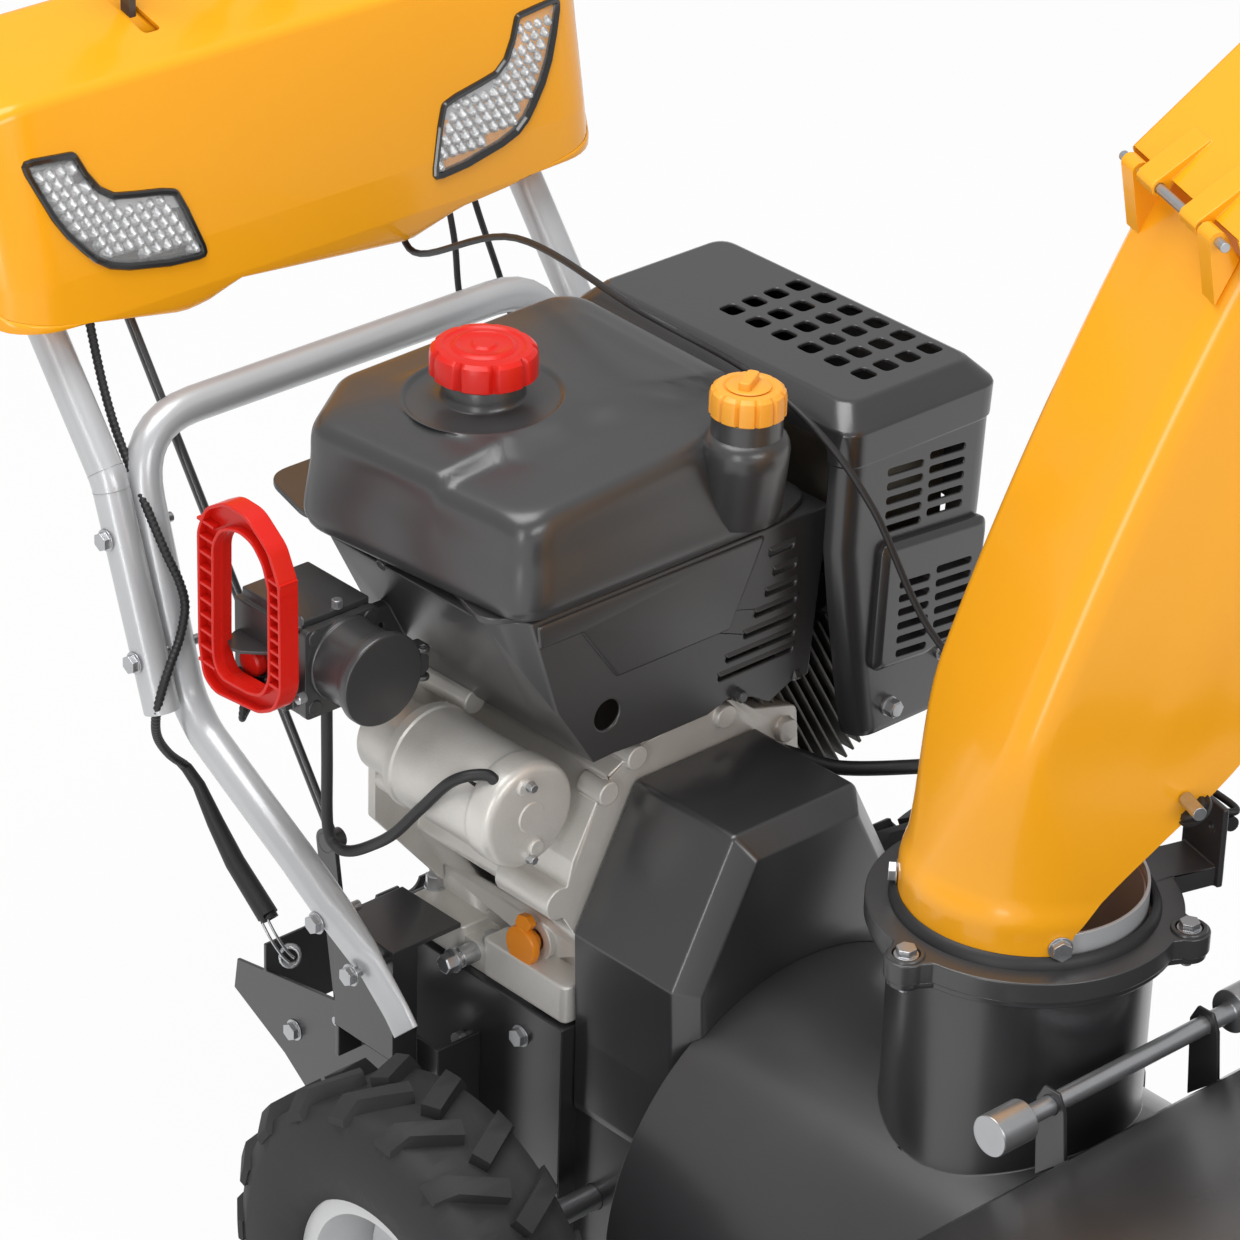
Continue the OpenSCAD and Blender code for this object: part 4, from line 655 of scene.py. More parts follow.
def sleeve_tree():
    """A tube along the seed's line whose radius swells once every pitch."""
    tree, given = tree_of("ribbed sleeve", {"Radius": 0.005, "Pitch": 0.004, "Rib": 0.0007, "Material": None})
    line = Wire.node(tree, "GeometryNodeMeshToCurve", {"Mesh": given["Geometry"]})
    even = Wire.node(tree, "GeometryNodeResampleCurve", {"Curve": line, "Length": given["Pitch"] * 0.25},
                     mode="LENGTH")
    along = Wire.node(tree, "GeometryNodeSplineParameter", out="Length")
    wave = Wire.node(tree, "ShaderNodeMath", {0: along * 6.28318 / given["Pitch"]}, operation="SINE")
    ring = Wire.node(tree, "GeometryNodeCurvePrimitiveCircle", {"Resolution": 16, "Radius": 1.0},
                     mode="RADIUS")
    swell = given["Radius"] + wave * given["Rib"]
    tube = Wire.node(tree, "GeometryNodeCurveToMesh", {"Curve": even, "Profile Curve": ring, "Scale": swell,
                                                       "Fill Caps": True})
    ends_in(tree, tube, given["Material"])
    return tree


SLEEVE = sleeve_tree()


# %% A spring


def spring_tree():
    """A wire wound along Z, a few turns over its length."""
    tree, given = tree_of("return spring", {"Turns": 9.0, "Coil": 0.006, "Length": 0.05, "Wire": 0.0009,
                                            "Material": None})
    coil = Wire.node(tree, "GeometryNodeCurveSpiral", {"Resolution": 14, "Rotations": given["Turns"],
                                                       "Start Radius": given["Coil"],
                                                       "End Radius": given["Coil"],
                                                       "Height": given["Length"]})
    ring = Wire.node(tree, "GeometryNodeCurvePrimitiveCircle", {"Resolution": 8, "Radius": given["Wire"]},
                     mode="RADIUS")
    wire = Wire.node(tree, "GeometryNodeCurveToMesh", {"Curve": coil, "Profile Curve": ring,
                                                       "Fill Caps": True})
    ends_in(tree, wire, given["Material"])
    return tree


SPRING = spring_tree()


def spring(name, start, end, radius, turns, wire, body, look):
    """A coil spring between two places in millimetres."""
    a, b = at(*start), at(*end)
    piece = grow(name, seed_of(name, [FRAME_ORIGIN]), SPRING,
                 {"Turns": float(turns), "Coil": radius / 1000, "Length": (b - a).length,
                  "Wire": wire / 1000},
                 body, look, 60)
    piece.data.transform(Matrix.Translation(a) @ (b - a).to_track_quat("Z", "Y").to_matrix().to_4x4())


# %% [markdown]
# ## The discharge chute
# The real chute is one rolled sheet: a round collar at the foot that opens into a deep channel
# and curls forward, with a rolled bead over the collar and two shallow pressed folds on each flank.
# Its section changes all the way up, so it is drawn as rings of points joined into a skin.
# The solid has the same section, with fewer rings and no folds.

# %% The chute's section
CHUTE_Y, RING_TOP, COLLAR, CHUTE_TOP, SHEET = 12, 531, 88, 500, 2.5
MOUTH_CORNER, MOUTH_HALF, MOUTH_TILT = 24, 76, 27
FLANK_STEPS, TURN_STEPS = 16, 18
THROW = math.radians(68 - 90)


def smooth(t):
    t = min(1, max(0, t))
    return t * t * (3 - 2 * t)


def spine_of(w):
    rise = max(0, w - 22)
    return -COLLAR + 0.24 * rise + 0.00025 * rise * rise


def chute_half(w, inner):
    """Half of the outline at the height w: distance ahead of the spine, and half width.

    The open flank is straight and ends in a quarter turn toward the spine. A bead and two folds
    push it outward, and inner moves it in by the sheet's thickness.
    """
    open_part = smooth((w - 30) / 140)
    radius = COLLAR + (MOUTH_CORNER - COLLAR) * open_part
    half = COLLAR + (MOUTH_HALF - COLLAR) * open_part
    deep = 80 + 98 * smooth((w - 6) / 150)
    foot = 0.9 * min(deep, radius)
    points = []
    for k in range(FLANK_STEPS):
        t = deep + (foot - deep) * k / FLANK_STEPS
        straight = t >= radius
        points.append((t, half if straight else half - radius + math.sqrt(radius ** 2 - (radius - t) ** 2),
                       90 if straight else math.degrees(math.acos(1 - t / radius))))
    top = math.degrees(math.acos(1 - foot / radius))
    for k in range(TURN_STEPS):
        lean = top * (TURN_STEPS - k) / TURN_STEPS * 0.985 + 1.5
        a = math.radians(lean)
        points.append((radius - radius * math.cos(a), half - radius + radius * math.sin(a), lean))
    bead = 1.6 * (smooth((w - 21) / 6) - smooth((w - 36) / 7))
    shown = smooth((w - 130) / 60) * (1 - smooth((w - 400) / 60))
    result = []
    for t, half_width, lean in points:
        first, second = 97 - 0.1 * (w - 147), 133 - 0.09 * (w - 154)
        fold = 1.3 * shown * (smooth((t - first + 5) / 10) - smooth((t - second + 5) / 10))
        push = bead + fold - inner
        a = math.radians(lean)
        result.append((t - push * math.cos(a), half_width + push * math.sin(a)))
    return result


def in_chute(u, v, w):
    """A place counted along the throw, across it and over the ring, in the part's millimetres."""
    c, s = math.cos(THROW), math.sin(THROW)
    return u * c - v * s, CHUTE_Y + u * s + v * c, RING_TOP + w


def chute_ring(w):
    tip = math.radians(MOUTH_TILT * smooth((w - 80) / (CHUTE_TOP - 80)))
    outer, inner = chute_half(w, 0), chute_half(w, SHEET)
    turn = outer + [(t, -v) for t, v in reversed(outer)] + [(t, -v) for t, v in inner] + list(reversed(inner))
    return [in_chute(spine_of(w) + t * math.cos(tip), v, w - t * math.sin(tip)) for t, v in turn]


# %% The chute and its hinge lugs
CHUTE_RINGS, CHUTE_FOOT = 90, 6
LUG_WIDTH = 18
levels = [CHUTE_FOOT + (CHUTE_TOP - CHUTE_FOOT) * k / CHUTE_RINGS for k in range(CHUTE_RINGS + 1)]
shells = [skin([chute_ring(w) for w in levels], band=True)]
lug = [(spine_of(468) + 0.5, 468), (spine_of(498) + 1, 498), (73, 517), (71, 519), (68, 519.5), (65, 519),
       (62, 516), (61.5, 513)]
for v in (-66, 48):
    shells.append(skin([[in_chute(u, h, w) for u, w in lug] for h in (v, v + LUG_WIDTH)]))
chute = make_piece("chute_sheet", shells, "chute", "orange_paint", ["chute"], angle=40)
print("chute", len(chute.data.polygons), "faces")

# %% [markdown]
# ## The fuel tank
# A blow-moulded tank has no flat faces: its sides bulge, its shoulders are soft, and the top
# falls away in a step toward the front. It is drawn as rings round the filler. Each ring is an
# outline cut by rays from the filler, and the rings between the outlines are blended smoothly.

# %% The tank's rings
FILLER, FILLER_TOP = Vector((-104, 465)), 791
OIL_NECK, OIL_NECK_TOP = (8, 312), 783
RAYS = 180
LEAN, STEP_DROP = 0.06, 7
NECK_SLOPE = 0.36
BETWEEN = 4


def ray(k, radius):
    """The point at a radius from the filler, on ray k."""
    a = 2 * math.pi * k / RAYS
    return FILLER.x + radius * math.cos(a), FILLER.y + radius * math.sin(a)


def rays_of(outline):
    """How far an outline lies from the filler, on every ray."""
    corners = [Vector(p) - FILLER for p in outline]
    reach = []
    for k in range(RAYS):
        d = Vector((math.cos(2 * math.pi * k / RAYS), math.sin(2 * math.pi * k / RAYS)))
        best = 0
        for a, b in zip(corners, corners[1:] + corners[:1]):
            edge = b - a
            across = d.x * edge.y - d.y * edge.x
            if abs(across) < 1e-9:
                continue
            t = (a.x * edge.y - a.y * edge.x) / across
            s = (a.x * d.y - a.y * d.x) / across
            if t > 0 and -1e-6 <= s <= 1 + 1e-6:
                best = max(best, t)
        reach.append(best)
    return reach


def tank_height(x, y, z):
    """The top leans to the left, and drops in a step toward the front, where the oil neck stands."""
    line = ((x + 180) * 0.12 + (y - 403)) / 1.007
    top = smooth((z - 700) / 45)
    return z + top * (LEAN * max(-90, min(140, x - FILLER.x)) - STEP_DROP * (1 - smooth((line + 5) / 11)))


# Each row of numbers is (inset, height). The skirt is wider than the waist above it.
SKIRT = [(-214, 537), (-194, 316), (62, 319), (70, 566), (-150, 578)], 28, ((5, 676), (2, 681), (0, 692))
WAIST = [(-210, 534), (-191, 319), (59, 322), (67, 562), (-150, 574)], 26, (
    (0, 728), (0.6, 749), (2.4, 758), (6.4, 764), (13, 767.4), (26, 769.5), (42, 771.5))
level_rings = [(rays_of(rounded(inset(corners, g), corner, 8)), z)
               for corners, corner, rows in (SKIRT, WAIST) for g, z in rows]
level_rings.append(([60] * RAYS, 774))
rings = []
for j in range(BETWEEN * (len(level_rings) - 1) + 1):
    t = j / BETWEEN
    z = blended([h for _, h in level_rings], t)
    ring = [ray(k, blended([reach[k] for reach, _ in level_rings], t)) for k in range(RAYS)]
    rings.append([(x, y, tank_height(x, y, z)) for x, y in ring])
for r, z in ((58.5, 774.4), (57, 773.8), (55.5, 772), (54, 771.4), (40, 773), (32, 774), (30.5, 775.5),
             (30, 779), (30, 795), (29, 796), (25, 796), (25, 770)):
    lean = LEAN if z < 776 and r > 25 else 0
    rings.append([(x, y, z + lean * (x - FILLER.x)) for x, y in (ray(k, r) for k in range(RAYS))])
tank = make_piece("tank_shell", [skin(rings)], "machine", "black_plastic", ["fuel_tank"], angle=50)
neck = []
for z, r in ((688, 30), (698, 31.8), (745, 31.8), (757, 31.6), (762, 30.8), (766, 29), (768, 26.4),
             (768.5, 25.6), (783, 25.6), (783.8, 24.6), (783.8, 20), (690, 20)):
    behind = max(0, 757 - z) * NECK_SLOPE
    neck.append([(OIL_NECK[0] + behind * 0.7 + x, OIL_NECK[1] + behind + y, z) for x, y in circle(r, 72)])
make_piece("oil_neck_shell", [skin(neck)], "machine", "black_plastic", ["oil_neck"], angle=35)
plate_edge = [(-182, 614), (-197, 556), (-189, 399), (-206, 348), (-173, 330), (66, 330), (106, 345),
              (106, 568), (78, 568), (60, 614)]
tank_plate = make_piece("tank_plate_sheet", [slab(rounded(plate_edge, 26, 8), 671, 676, "z")], "machine",
                        "black_plastic", ["tank_plate"], edge=1.0)
print("tank", len(tank.data.polygons), "faces")


# %% Caps


def cap(node, place, radius, height, grips, deep, look, top):
    """A moulded cap: a body whose rim swells between finger grooves, and a stepped top."""
    rings = []
    body = ((0, radius - 2, 0.4), (1.5, radius, 1), (height * 0.7, radius, 1),
            (height * 0.88, radius - 1, 0.8), (height, radius - 4, 0.3), (height + 0.6, radius - 9, 0),
            (height - 0.6, radius - 11, 0), (height - 0.6, radius - 15, 0))
    for z, r, dish in body + tuple((z, r, 0) for z, r in top):
        ring = []
        for k in range(RAYS):
            a = 2 * math.pi * k / RAYS
            groove = max(0, math.cos(a * grips)) ** 6
            rr = r - dish * deep * groove
            ring.append((place[0] + rr * math.cos(a), place[1] + rr * math.sin(a), place[2] + z))
        rings.append(ring)
    make_piece(node + "_cover", [skin(rings)], node, look, [node], angle=30)


cap("fuel_cap", (*FILLER, FILLER_TOP), 39, 21.5, 9, 4.2, "red_plastic",
    ((22.4, 22), (22.9, 20), (21.8, 18), (21.8, 10), (23.4, 8), (23.4, 2)))
cap("oil_cap", (*OIL_NECK, OIL_NECK_TOP), 27.5, 21, 12, 2.6, "yellow_plastic",
    ((21.4, 16), (22.4, 14), (22.4, 2)))
bar_points, bar_faces = block((-12, -4.5), (12, 4.5), 3, 803, 811.5, "z")
bar_points = [(OIL_NECK[0] + x * 0.88 - y * 0.47, OIL_NECK[1] + x * 0.47 + y * 0.88, z)
              for x, y, z in bar_points]
make_piece("oil_cap_grip", [(bar_points, bar_faces)], "oil_cap", "yellow_plastic", edge=1.2)
print("caps ready")

# %% [markdown]
# ## The muffler guard
# The guard is a pressed lid over a pressed body. It has a wide sloping shoulder, soft upright
# corners, a grid of windows in the lid and two columns of slots in front, the lower ones in a
# raised panel. It is a skin of rounded rectangles that goes down outside and up inside,
# and a Boolean takes the windows out in one go.

# %% The guard's levels
# Each level is (height, x from, x to, y from, y to).
GUARD = [(765, 101, 222, 305, 565), (763.5, 97, 226, 301, 569), (750, 85, 238.6, 287, 583),
         (747, 84, 240, 285, 585), (722, 83.6, 238.2, 285, 585), (721, 85, 237, 286.4, 583.6),
         (653, 83.5, 233.6, 286.4, 583.6), (601, 91, 229.6, 286.4, 583.6), (530, 103, 214, 286.4, 583.6),
         (496, 110, 205, 286.4, 583.6), (490, 112, 202, 288, 582)]
LID_INSIDE, GUARD_SHEET = 762, 2.5
WINDOW_X, WINDOW_Y = 7.6, 8.2
SLOT_DROP, SLOT_HIGH, SLOT_PITCH = 3, 5.6, (11.6, 11.4)


def guard_ring(z, x0, x1, y0, y1, g, radius):
    return [(x, y, z) for x, y in rounded(box((x0 + g, y0 + g), (x1 - g, y1 - g)), radius, 6)]


def slanted(x0, x1, z):
    """A slot across the front, whose right end is lower."""
    half = SLOT_HIGH / 2
    corners = [(x0, z - half), (x1, z - SLOT_DROP - half), (x1, z - SLOT_DROP + half), (x0, z + half)]
    return slab(rounded(corners, half * 0.9, 4), 270, 300)


outside = [guard_ring(*level, 0, 15 if level[0] > 760 else 19) for level in GUARD]
inside = [guard_ring(min(z, LID_INSIDE), *sides, GUARD_SHEET, 15) for z, *sides in reversed(GUARD)]
panel = [(117, 548), (168, 545), (216, 552), (226, 600), (229, 643), (121, 652)]
raised = [[(x, y, z) for x, z in rounded(outline, corner)]
          for y, outline, corner in ((287.5, panel, 9), (282, panel, 9), (278.5, inset(panel, 3.5), 8),
                                     (277.6, inset(panel, 6), 8))]
windows = [block((x - WINDOW_X, y - WINDOW_Y), (x + WINDOW_X, y + WINDOW_Y), 4.6, 750, 780, "z")
           for x in (143, 165.4, 187.8, 210) for y in (332, 359.6, 387.2, 414.8, 442.4, 470)]
front_slots = [slanted(x0, x1, 707.5 - SLOT_PITCH[0] * k)
               for x0, x1 in ((127, 163), (170, 206)) for k in range(5)]
panel_slots = [slanted(x0, x1, 616 - SLOT_PITCH[1] * k)
               for x0, x1 in ((137, 168), (175, 211)) for k in range(6)]
side_slots = [block((y - 5, 578), (y + 5, 640), 4.5, 205, 250, "x") for y in range(330, 541, 30)]
engine_side = block((306, 480), (566, 738), 14, 60, 118, "x")
guard = make_piece("muffler_guard_shell", [skin(outside + inside)], "machine", "black_paint",
                   ["muffler_guard"], holes=windows + front_slots + side_slots + [engine_side], edge=0.9)
guard_panel = make_piece("guard_panel", [skin(raised)], "machine", "black_paint", holes=panel_slots, edge=0.7)
print("guard", len(guard.data.polygons), "faces")

# %% [markdown]
# ## The belt cover and the engine shroud
# The belt cover is pressed with a bevel as wide as a finger round its face, and that bevel is
# what catches the light. The shroud has a step moulded across its face. Both are loops of
# points: the cover one skin with soft edges, the step a thin slab on the solid's face.

# %% Belt cover
FACE = [(-60, 497), (-116, 388), (-112.5, 300), (-112.5, 236), (112.5, 236), (112.5, 300), (116, 388),
        (60, 497)]
COVER_FOOT = 236


def cover_loop(g, y, radius=7):
    """The cover's outline moved in by g, with its foot kept level."""
    loop = rounded(inset(FACE, g), radius, 5)
    return [(x, y, z if z > COVER_FOOT + 4 else COVER_FOOT) for x, z in loop]


cover = skin([cover_loop(g, y) for g, y in ((17, 222.2), (16, 222.6), (15, 223.6), (1.6, 237), (0.5, 238.6),
                                            (0, 241), (0, 340.8))])
drum_hole = turned([(182.4, 100), (182.4, 228.4)], (0, 0, 197), "y", 96)
under = [drum_hole, slab(box((-109, 190), (109, 300)), 228, 345),
         slab(box((-109.4, 190), (109.4, 262.4)), 215, 345),
         skin([cover_loop(g, y, 5) for g, y in ((19, 226), (4, 240), (3, 350))])]
make_piece("belt_cover_shell", [cover], "machine", "black_paint", ["belt_cover"], holes=under, angle=38)

# %% The shroud's moulded step and louvre lips
step = [(-169, 648.5), (-130, 648.5), (-95, 601), (14, 601), (47, 668), (-171.5, 668)]
thick = [[(x, y, z) for x, z in rounded(inset(step, g), 3)]
         for g, y in ((0, 329), (0.3, 327.2), (1.3, 326.2), (2.3, 326))]
make_piece("shroud_step", [skin(thick)], "machine", "black_plastic", angle=60)
LOUVRES = [(52, 77, 650), (57, 80, 633), (50, 81, 618), (40, 82, 604), (30, 82, 590), (13, 82, 576),
           (6, 81, 563)]
lips = []
for x0, x1, z in LOUVRES:
    root = [(x, 329, height) for x, height in box((x0 - 1, z + 3), (x1 + 1, z + 6.5))]
    lips.append(skin([root, [(x0, 325.6, z + 2.6), (x1, 325.6, z + 2.6), (x1, 326.8, z + 4),
                             (x0, 326.8, z + 4)]]))
make_piece("louvre_lips", lips, "machine", "black_plastic", edge=0.5, angle=25)
print("covers ready")

# %% [markdown]
# ## The electric starter
# The starter is a rolled can with a cast end cap. The cap has two ears for the long screws and
# a cable gland, and its edges are soft from casting. It is turned from a profile,
# so every edge can have its own small radius.

# %% Starter can and cap
AXIS = (-156, 0, 500)
can = turned([(14, 364), (39.6, 364), (39.4, 366), (40, 372), (40, 453.6), (41.6, 455), (41.6, 460),
              (40.6, 463.4), (38, 465), (30, 466), (30, 504), (29, 506), (14, 506)], AXIS, "y", 96)
end_cap = turned([(2, 345.2), (11, 345.6), (12, 346.6), (34.6, 347), (38.6, 348.2), (41.2, 350.6), (42, 354),
                  (42, 368), (41.8, 370.6), (40.6, 372), (20, 372)], AXIS, "y", 96)
ears = [turned([(1, 345), (5.6, 344.6), (6.6, 345.6), (7, 352), (7, 362)], (x, 0, z), "y", 24)
        for x, z in ((-163, 527), (-151, 473))]
mounts = [turned([(3, 452), (9, 452), (10, 453), (10, 507)], (x, 0, z), "y", 32)
          for x, z in ((-158, 462), (-118, 534))]
starter = make_piece("starter_can", [can, end_cap] + ears + mounts, "machine", "cast_aluminium",
                     ["starter_motor"], angle=40)
gland = skin([[(-178 + x * s, y, 519 + z * s) for x, z in box((-9, -7), (9, 8))]
              for y, s in ((352, 1.0), (366, 1.05), (386, 1.0))])
make_piece("starter_gland", [gland], "machine", "rubber", edge=2.5, segments=3)
cut(dressed["crankcase"], [slab(box((-215, 330), (-168, 560)), 498, 520)])
print("starter", len(starter.data.polygons), "faces")

# %% [markdown]
# ## The console and its lamps
# The console is a moulded hood with large soft corners and a lower edge that rises and falls.
# It is a skin of side profiles set along the machine's width. A Boolean takes away a second,
# smaller skin for the hollow, and another one opens the lamps. Each lamp sits in a black
# bezel and shows rows of small reflectors, which one Geometry Nodes tree sets behind the pane.

# %% Console
LOWER = [(-292, 790), (-286, 768), (-275, 764), (-134, 732.5), (-112, 735), (-81, 747), (86, 727), (136, 743),
         (187, 748), (275, 764), (286, 768), (292, 790)]
HALF, CORNER = 292, 46
FRONT, LOW_FRONT, BREAK = 768, 752, 787
HOLLOW_TOP = 745


def lower_edge(x):
    for (x0, z0), (x1, z1) in zip(LOWER, LOWER[1:]):
        if x0 <= x <= x1:
            return z0 + (z1 - z0) * (x - x0) / (x1 - x0)
    return LOWER[0][1]


def console_ring(x, g, low):
    """Side profile of the hood at x, moved in by g, down to a lower edge."""
    over, round_here = max(0, abs(x) - (HALF - CORNER)), CORNER - g
    pull = round_here - math.sqrt(max(0, round_here ** 2 - over ** 2))
    front, rear = FRONT + g + pull * 0.92, 940 - g - pull * 0.6
    shift = g + pull * 0.5
    profile = [(front, low), (rear, low), (rear, 925 - shift), (905, 945 - shift),
               (806 + pull * 0.5, 918 - shift), (front + 6.6, BREAK), (front, LOW_FRONT)]
    return [(x, y, z) for y, z in rounded(profile, 12, 4)]


def hood(g, drop):
    """The hood moved in by g. With a drop, its foot is level and below the lower edge."""
    corner = [g - HALF + step for step in (0, 0.8, 2.5, 5, 9, 15, 22, 30, 38, 46)]
    places = set(corner + [-240 + 10 * k for k in range(49)] + [-x for x in corner])
    return skin([console_ring(x, g, min(lower_edge(x), HOLLOW_TOP) + drop if drop else lower_edge(x))
                 for x in sorted(places)])


LAMP = rounded([(107, 771), (145, 774), (182, 781), (199, 786.5), (211, 794.5), (220, 804), (232, 818),
                (242, 834), (251, 854), (263, 882), (212, 877), (204, 860), (195, 847), (184, 839.5),
                (166, 836), (142, 832), (128, 828), (121, 812)], 8, 3)
SHELF = [(127, 825), (142, 828.6), (166, 832.5), (185, 836), (198, 845.5), (202, 838), (188, 826),
         (166, 819.5), (125, 813)]
stick_slots = [slab(rounded(box(low, high), 5), 870, 960, "z")
               for low, high in (((60, 832), (76, 912)), ((-60, 864), (16, 880)), ((-112, 842), (-96, 902)))]
console = make_piece("console_hood", [hood(0, 0)], "machine", "orange_paint", ["console"],
                     holes=[hood(3, -60)] + stick_slots, angle=44)
cut(console, [slab([(s * x, z) for x, z in LAMP], 740, 800) for s in (-1, 1)])

# %% Lamps
CELL_X, CELL_Z, CELL_DEPTH = 9.6, 8.3, 4.6


def front_at(x, z):
    """Where the hood's front face lies at x and z."""
    over = max(0, abs(x) - (HALF - CORNER))
    front = FRONT + 0.92 * (CORNER - math.sqrt(CORNER ** 2 - over ** 2))
    return front + (0.19 * max(0, z - LOW_FRONT) if z < BREAK else 6.6 + 0.24 * (z - BREAK))


def behind_front(outline, rise):
    return [(x, front_at(x, z) + rise, z) for x, z in outline]


def inside_of(outline, x, z):
    crossings = sum((az > z) != (bz > z) and x < ax + (z - az) / (bz - az) * (bx - ax)
                    for (ax, az), (bx, bz) in zip(outline, outline[1:] + outline[:1]))
    return crossings % 2 == 1


def cell_tree():
    """A faceted bowl for a reflector at every point."""
    tree, given = tree_of("reflector cells", {"Width": 0.0105, "Depth": 0.007, "Material": None})
    bowl = Wire.node(tree, "GeometryNodeMeshCone", {"Vertices": 8, "Side Segments": 2, "Fill Segments": 1,
                                                    "Radius Top": 0.0016,
                                                    "Radius Bottom": given["Width"] * 0.5,
                                                    "Depth": given["Depth"]})
    laid = Wire.node(tree, "GeometryNodeTransform", {"Geometry": bowl, "Rotation": (math.pi / 2, 0, 0)})
    ends_in(tree, at_points(tree, given, laid), given["Material"])
    return tree


bed = inset(LAMP, 9)
grid = [(110 + CELL_X * (i + j % 2 / 2), 780 + CELL_Z * j) for i in range(18) for j in range(13)]
grid = [p for p in grid if inside_of(bed, *p)]
cells = []
for s, side in ((-1, "right"), (1, "left")):
    outline = [(s * x, z) for x, z in LAMP][::s]
    loops = [behind_front(inset(outline, g), rise) for g, rise in (
        (0.2, 4), (0.2, -1.4), (1.4, -2.8), (4, -2.6), (5.4, -0.8), (5.4, 9), (0.2, 10))]
    make_piece("lamp_bezel_" + side, [hoop(list(zip(*loops)))], "machine", "bezel", angle=30)
    bowl = [behind_front(inset(outline, 5), rise) for rise in (6.5, 14)]
    make_piece("lamp_bowl_" + side, [skin(bowl)], "machine", "dark_casting")
    pane = [behind_front(inset(outline, g), rise) for g, rise in ((5.2, 1.6), (5.4, -0.6), (8, -1.8))]
    make_piece("lamp_pane_" + side, [skin(pane)], "machine", "clear_lens", angle=50)
    shelf = [[(s * x, y, z) for x, y, z in behind_front(rounded(SHELF, 3), rise)] for rise in (1.8, 8)]
    make_piece("lamp_shelf_" + side, [skin(shelf)], "machine", "tube_steel", angle=50)
    cells += [(s * x, y, z) for x, y, z in behind_front(grid, CELL_DEPTH)]
# The reflector cells wear the finish whose colour carries painted glints and painted reflections.
grow("lamp_cells", seed_of("lamp_cells", cells), cell_tree(), {"Width": 0.0132}, "machine", "reflector", 12)
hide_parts("headlights")
print("console", len(console.data.polygons), "faces,", len(cells), "reflector cells")

# %% [markdown]
# ## The pull handle
# The recoil handle is a loop of open channel: an outer and an inner flange joined by a thin
# web, with ribs across the grip. The flanges are hoops, the web is a slab with a hole, and the
# ribs are one small form set at even steps by Geometry Nodes.

# %% Channel loop
PULL_OUT = [(462, 598), (470, 580), (488, 571), (538, 566), (551, 574), (556, 600), (556, 690), (547, 712),
            (524, 725), (500, 724), (475, 706), (463, 682)]
PULL_IN = [(477, 603), (485, 588), (500, 584), (530, 583), (537, 592), (538, 608), (537, 686), (528, 701),
           (509, 707), (494, 704), (483, 692), (477, 676)]
PULL_LOW, PULL_HIGH = -291, -274
PULL_CORNER, PULL_WALL, PULL_WEB = 24, 2.6, 1.2


def ordered(outline):
    """The outline counter-clockwise."""
    turn = sum(a[0] * b[1] - b[0] * a[1] for a, b in zip(outline, outline[1:] + outline[:1]))
    return outline if turn > 0 else outline[::-1]


def flange(outline, thick, low, high):
    """A hoop as thick as the moulding, standing across the handle."""
    a, b = rounded(outline, PULL_CORNER, 5), rounded(inset(outline, thick), PULL_CORNER - 2, 5)
    return hoop([[(low, *p), (high, *p), (high, *q), (low, *q)] for p, q in zip(a, b)])


PULL_OUT, PULL_IN = ordered(PULL_OUT), ordered(PULL_IN)
middle_x = (PULL_LOW + PULL_HIGH) / 2
web = slab(rounded(inset(PULL_OUT, 1), PULL_CORNER), middle_x - PULL_WEB, middle_x + PULL_WEB, "x")
make_piece("pull_handle", [web], "recoil_handle", "red_plastic", ["recoil_handle"],
           holes=[slab(rounded(inset(PULL_IN, 0.5), PULL_CORNER - 2), PULL_LOW, PULL_HIGH, "x")])
make_piece("pull_handle_rims", [flange(outline, PULL_WALL, PULL_LOW, PULL_HIGH)
                                for outline in (PULL_OUT, inset(PULL_IN, -PULL_WALL))],
           "recoil_handle", "red_plastic", edge=0.7, angle=50)


def rib_tree():
    """A thin plate at every point, as wide as the channel is deep."""
    tree, given = tree_of("grip ribs", {"Reach": 0.016, "Depth": 0.024, "Thickness": 0.0022,
                                        "Material": None})
    size = Wire.node(tree, "ShaderNodeCombineXYZ", {"X": given["Depth"], "Y": given["Reach"],
                                                    "Z": given["Thickness"]})
    plate = Wire.node(tree, "GeometryNodeMeshCube", {"Size": size})
    tilt = Wire.node(tree, "GeometryNodeTransform", {"Geometry": plate, "Rotation": (0.06, 0, 0)})
    ends_in(tree, at_points(tree, given, tilt), given["Material"])
    return tree


def rib_row(name, count, reach, place):
    """A row of ribs across the channel: place gives the middle of each rib."""
    seed = seed_of(name, [(middle_x, *place(k)) for k in range(count)])
    grow(name, seed, RIBS, {"Reach": reach, "Depth": 0.0158}, "recoil_handle", "red_plastic", 30)


RIBS = rib_tree()
rib_row("pull_ribs", 10, 0.0185, lambda k: (546.8, 586 + 12.6 * k))
rib_row("pull_stiffeners", 10, 0.0142, lambda k: (469.8, 600 + 9.2 * k))
print("pull handle ready")

# %% [markdown]
# ## The start box, the ring and small castings
# The start box, the chute ring and the crankcase keep their solids, and get what those leave
# out: fins that guard the button, pads and a rubber lip, feet and a drain plug. The socket's lid,
# the button and the dipstick's grip take the place of theirs. Each is a few shells of points,
# with edges as soft as the moulding or the casting has.

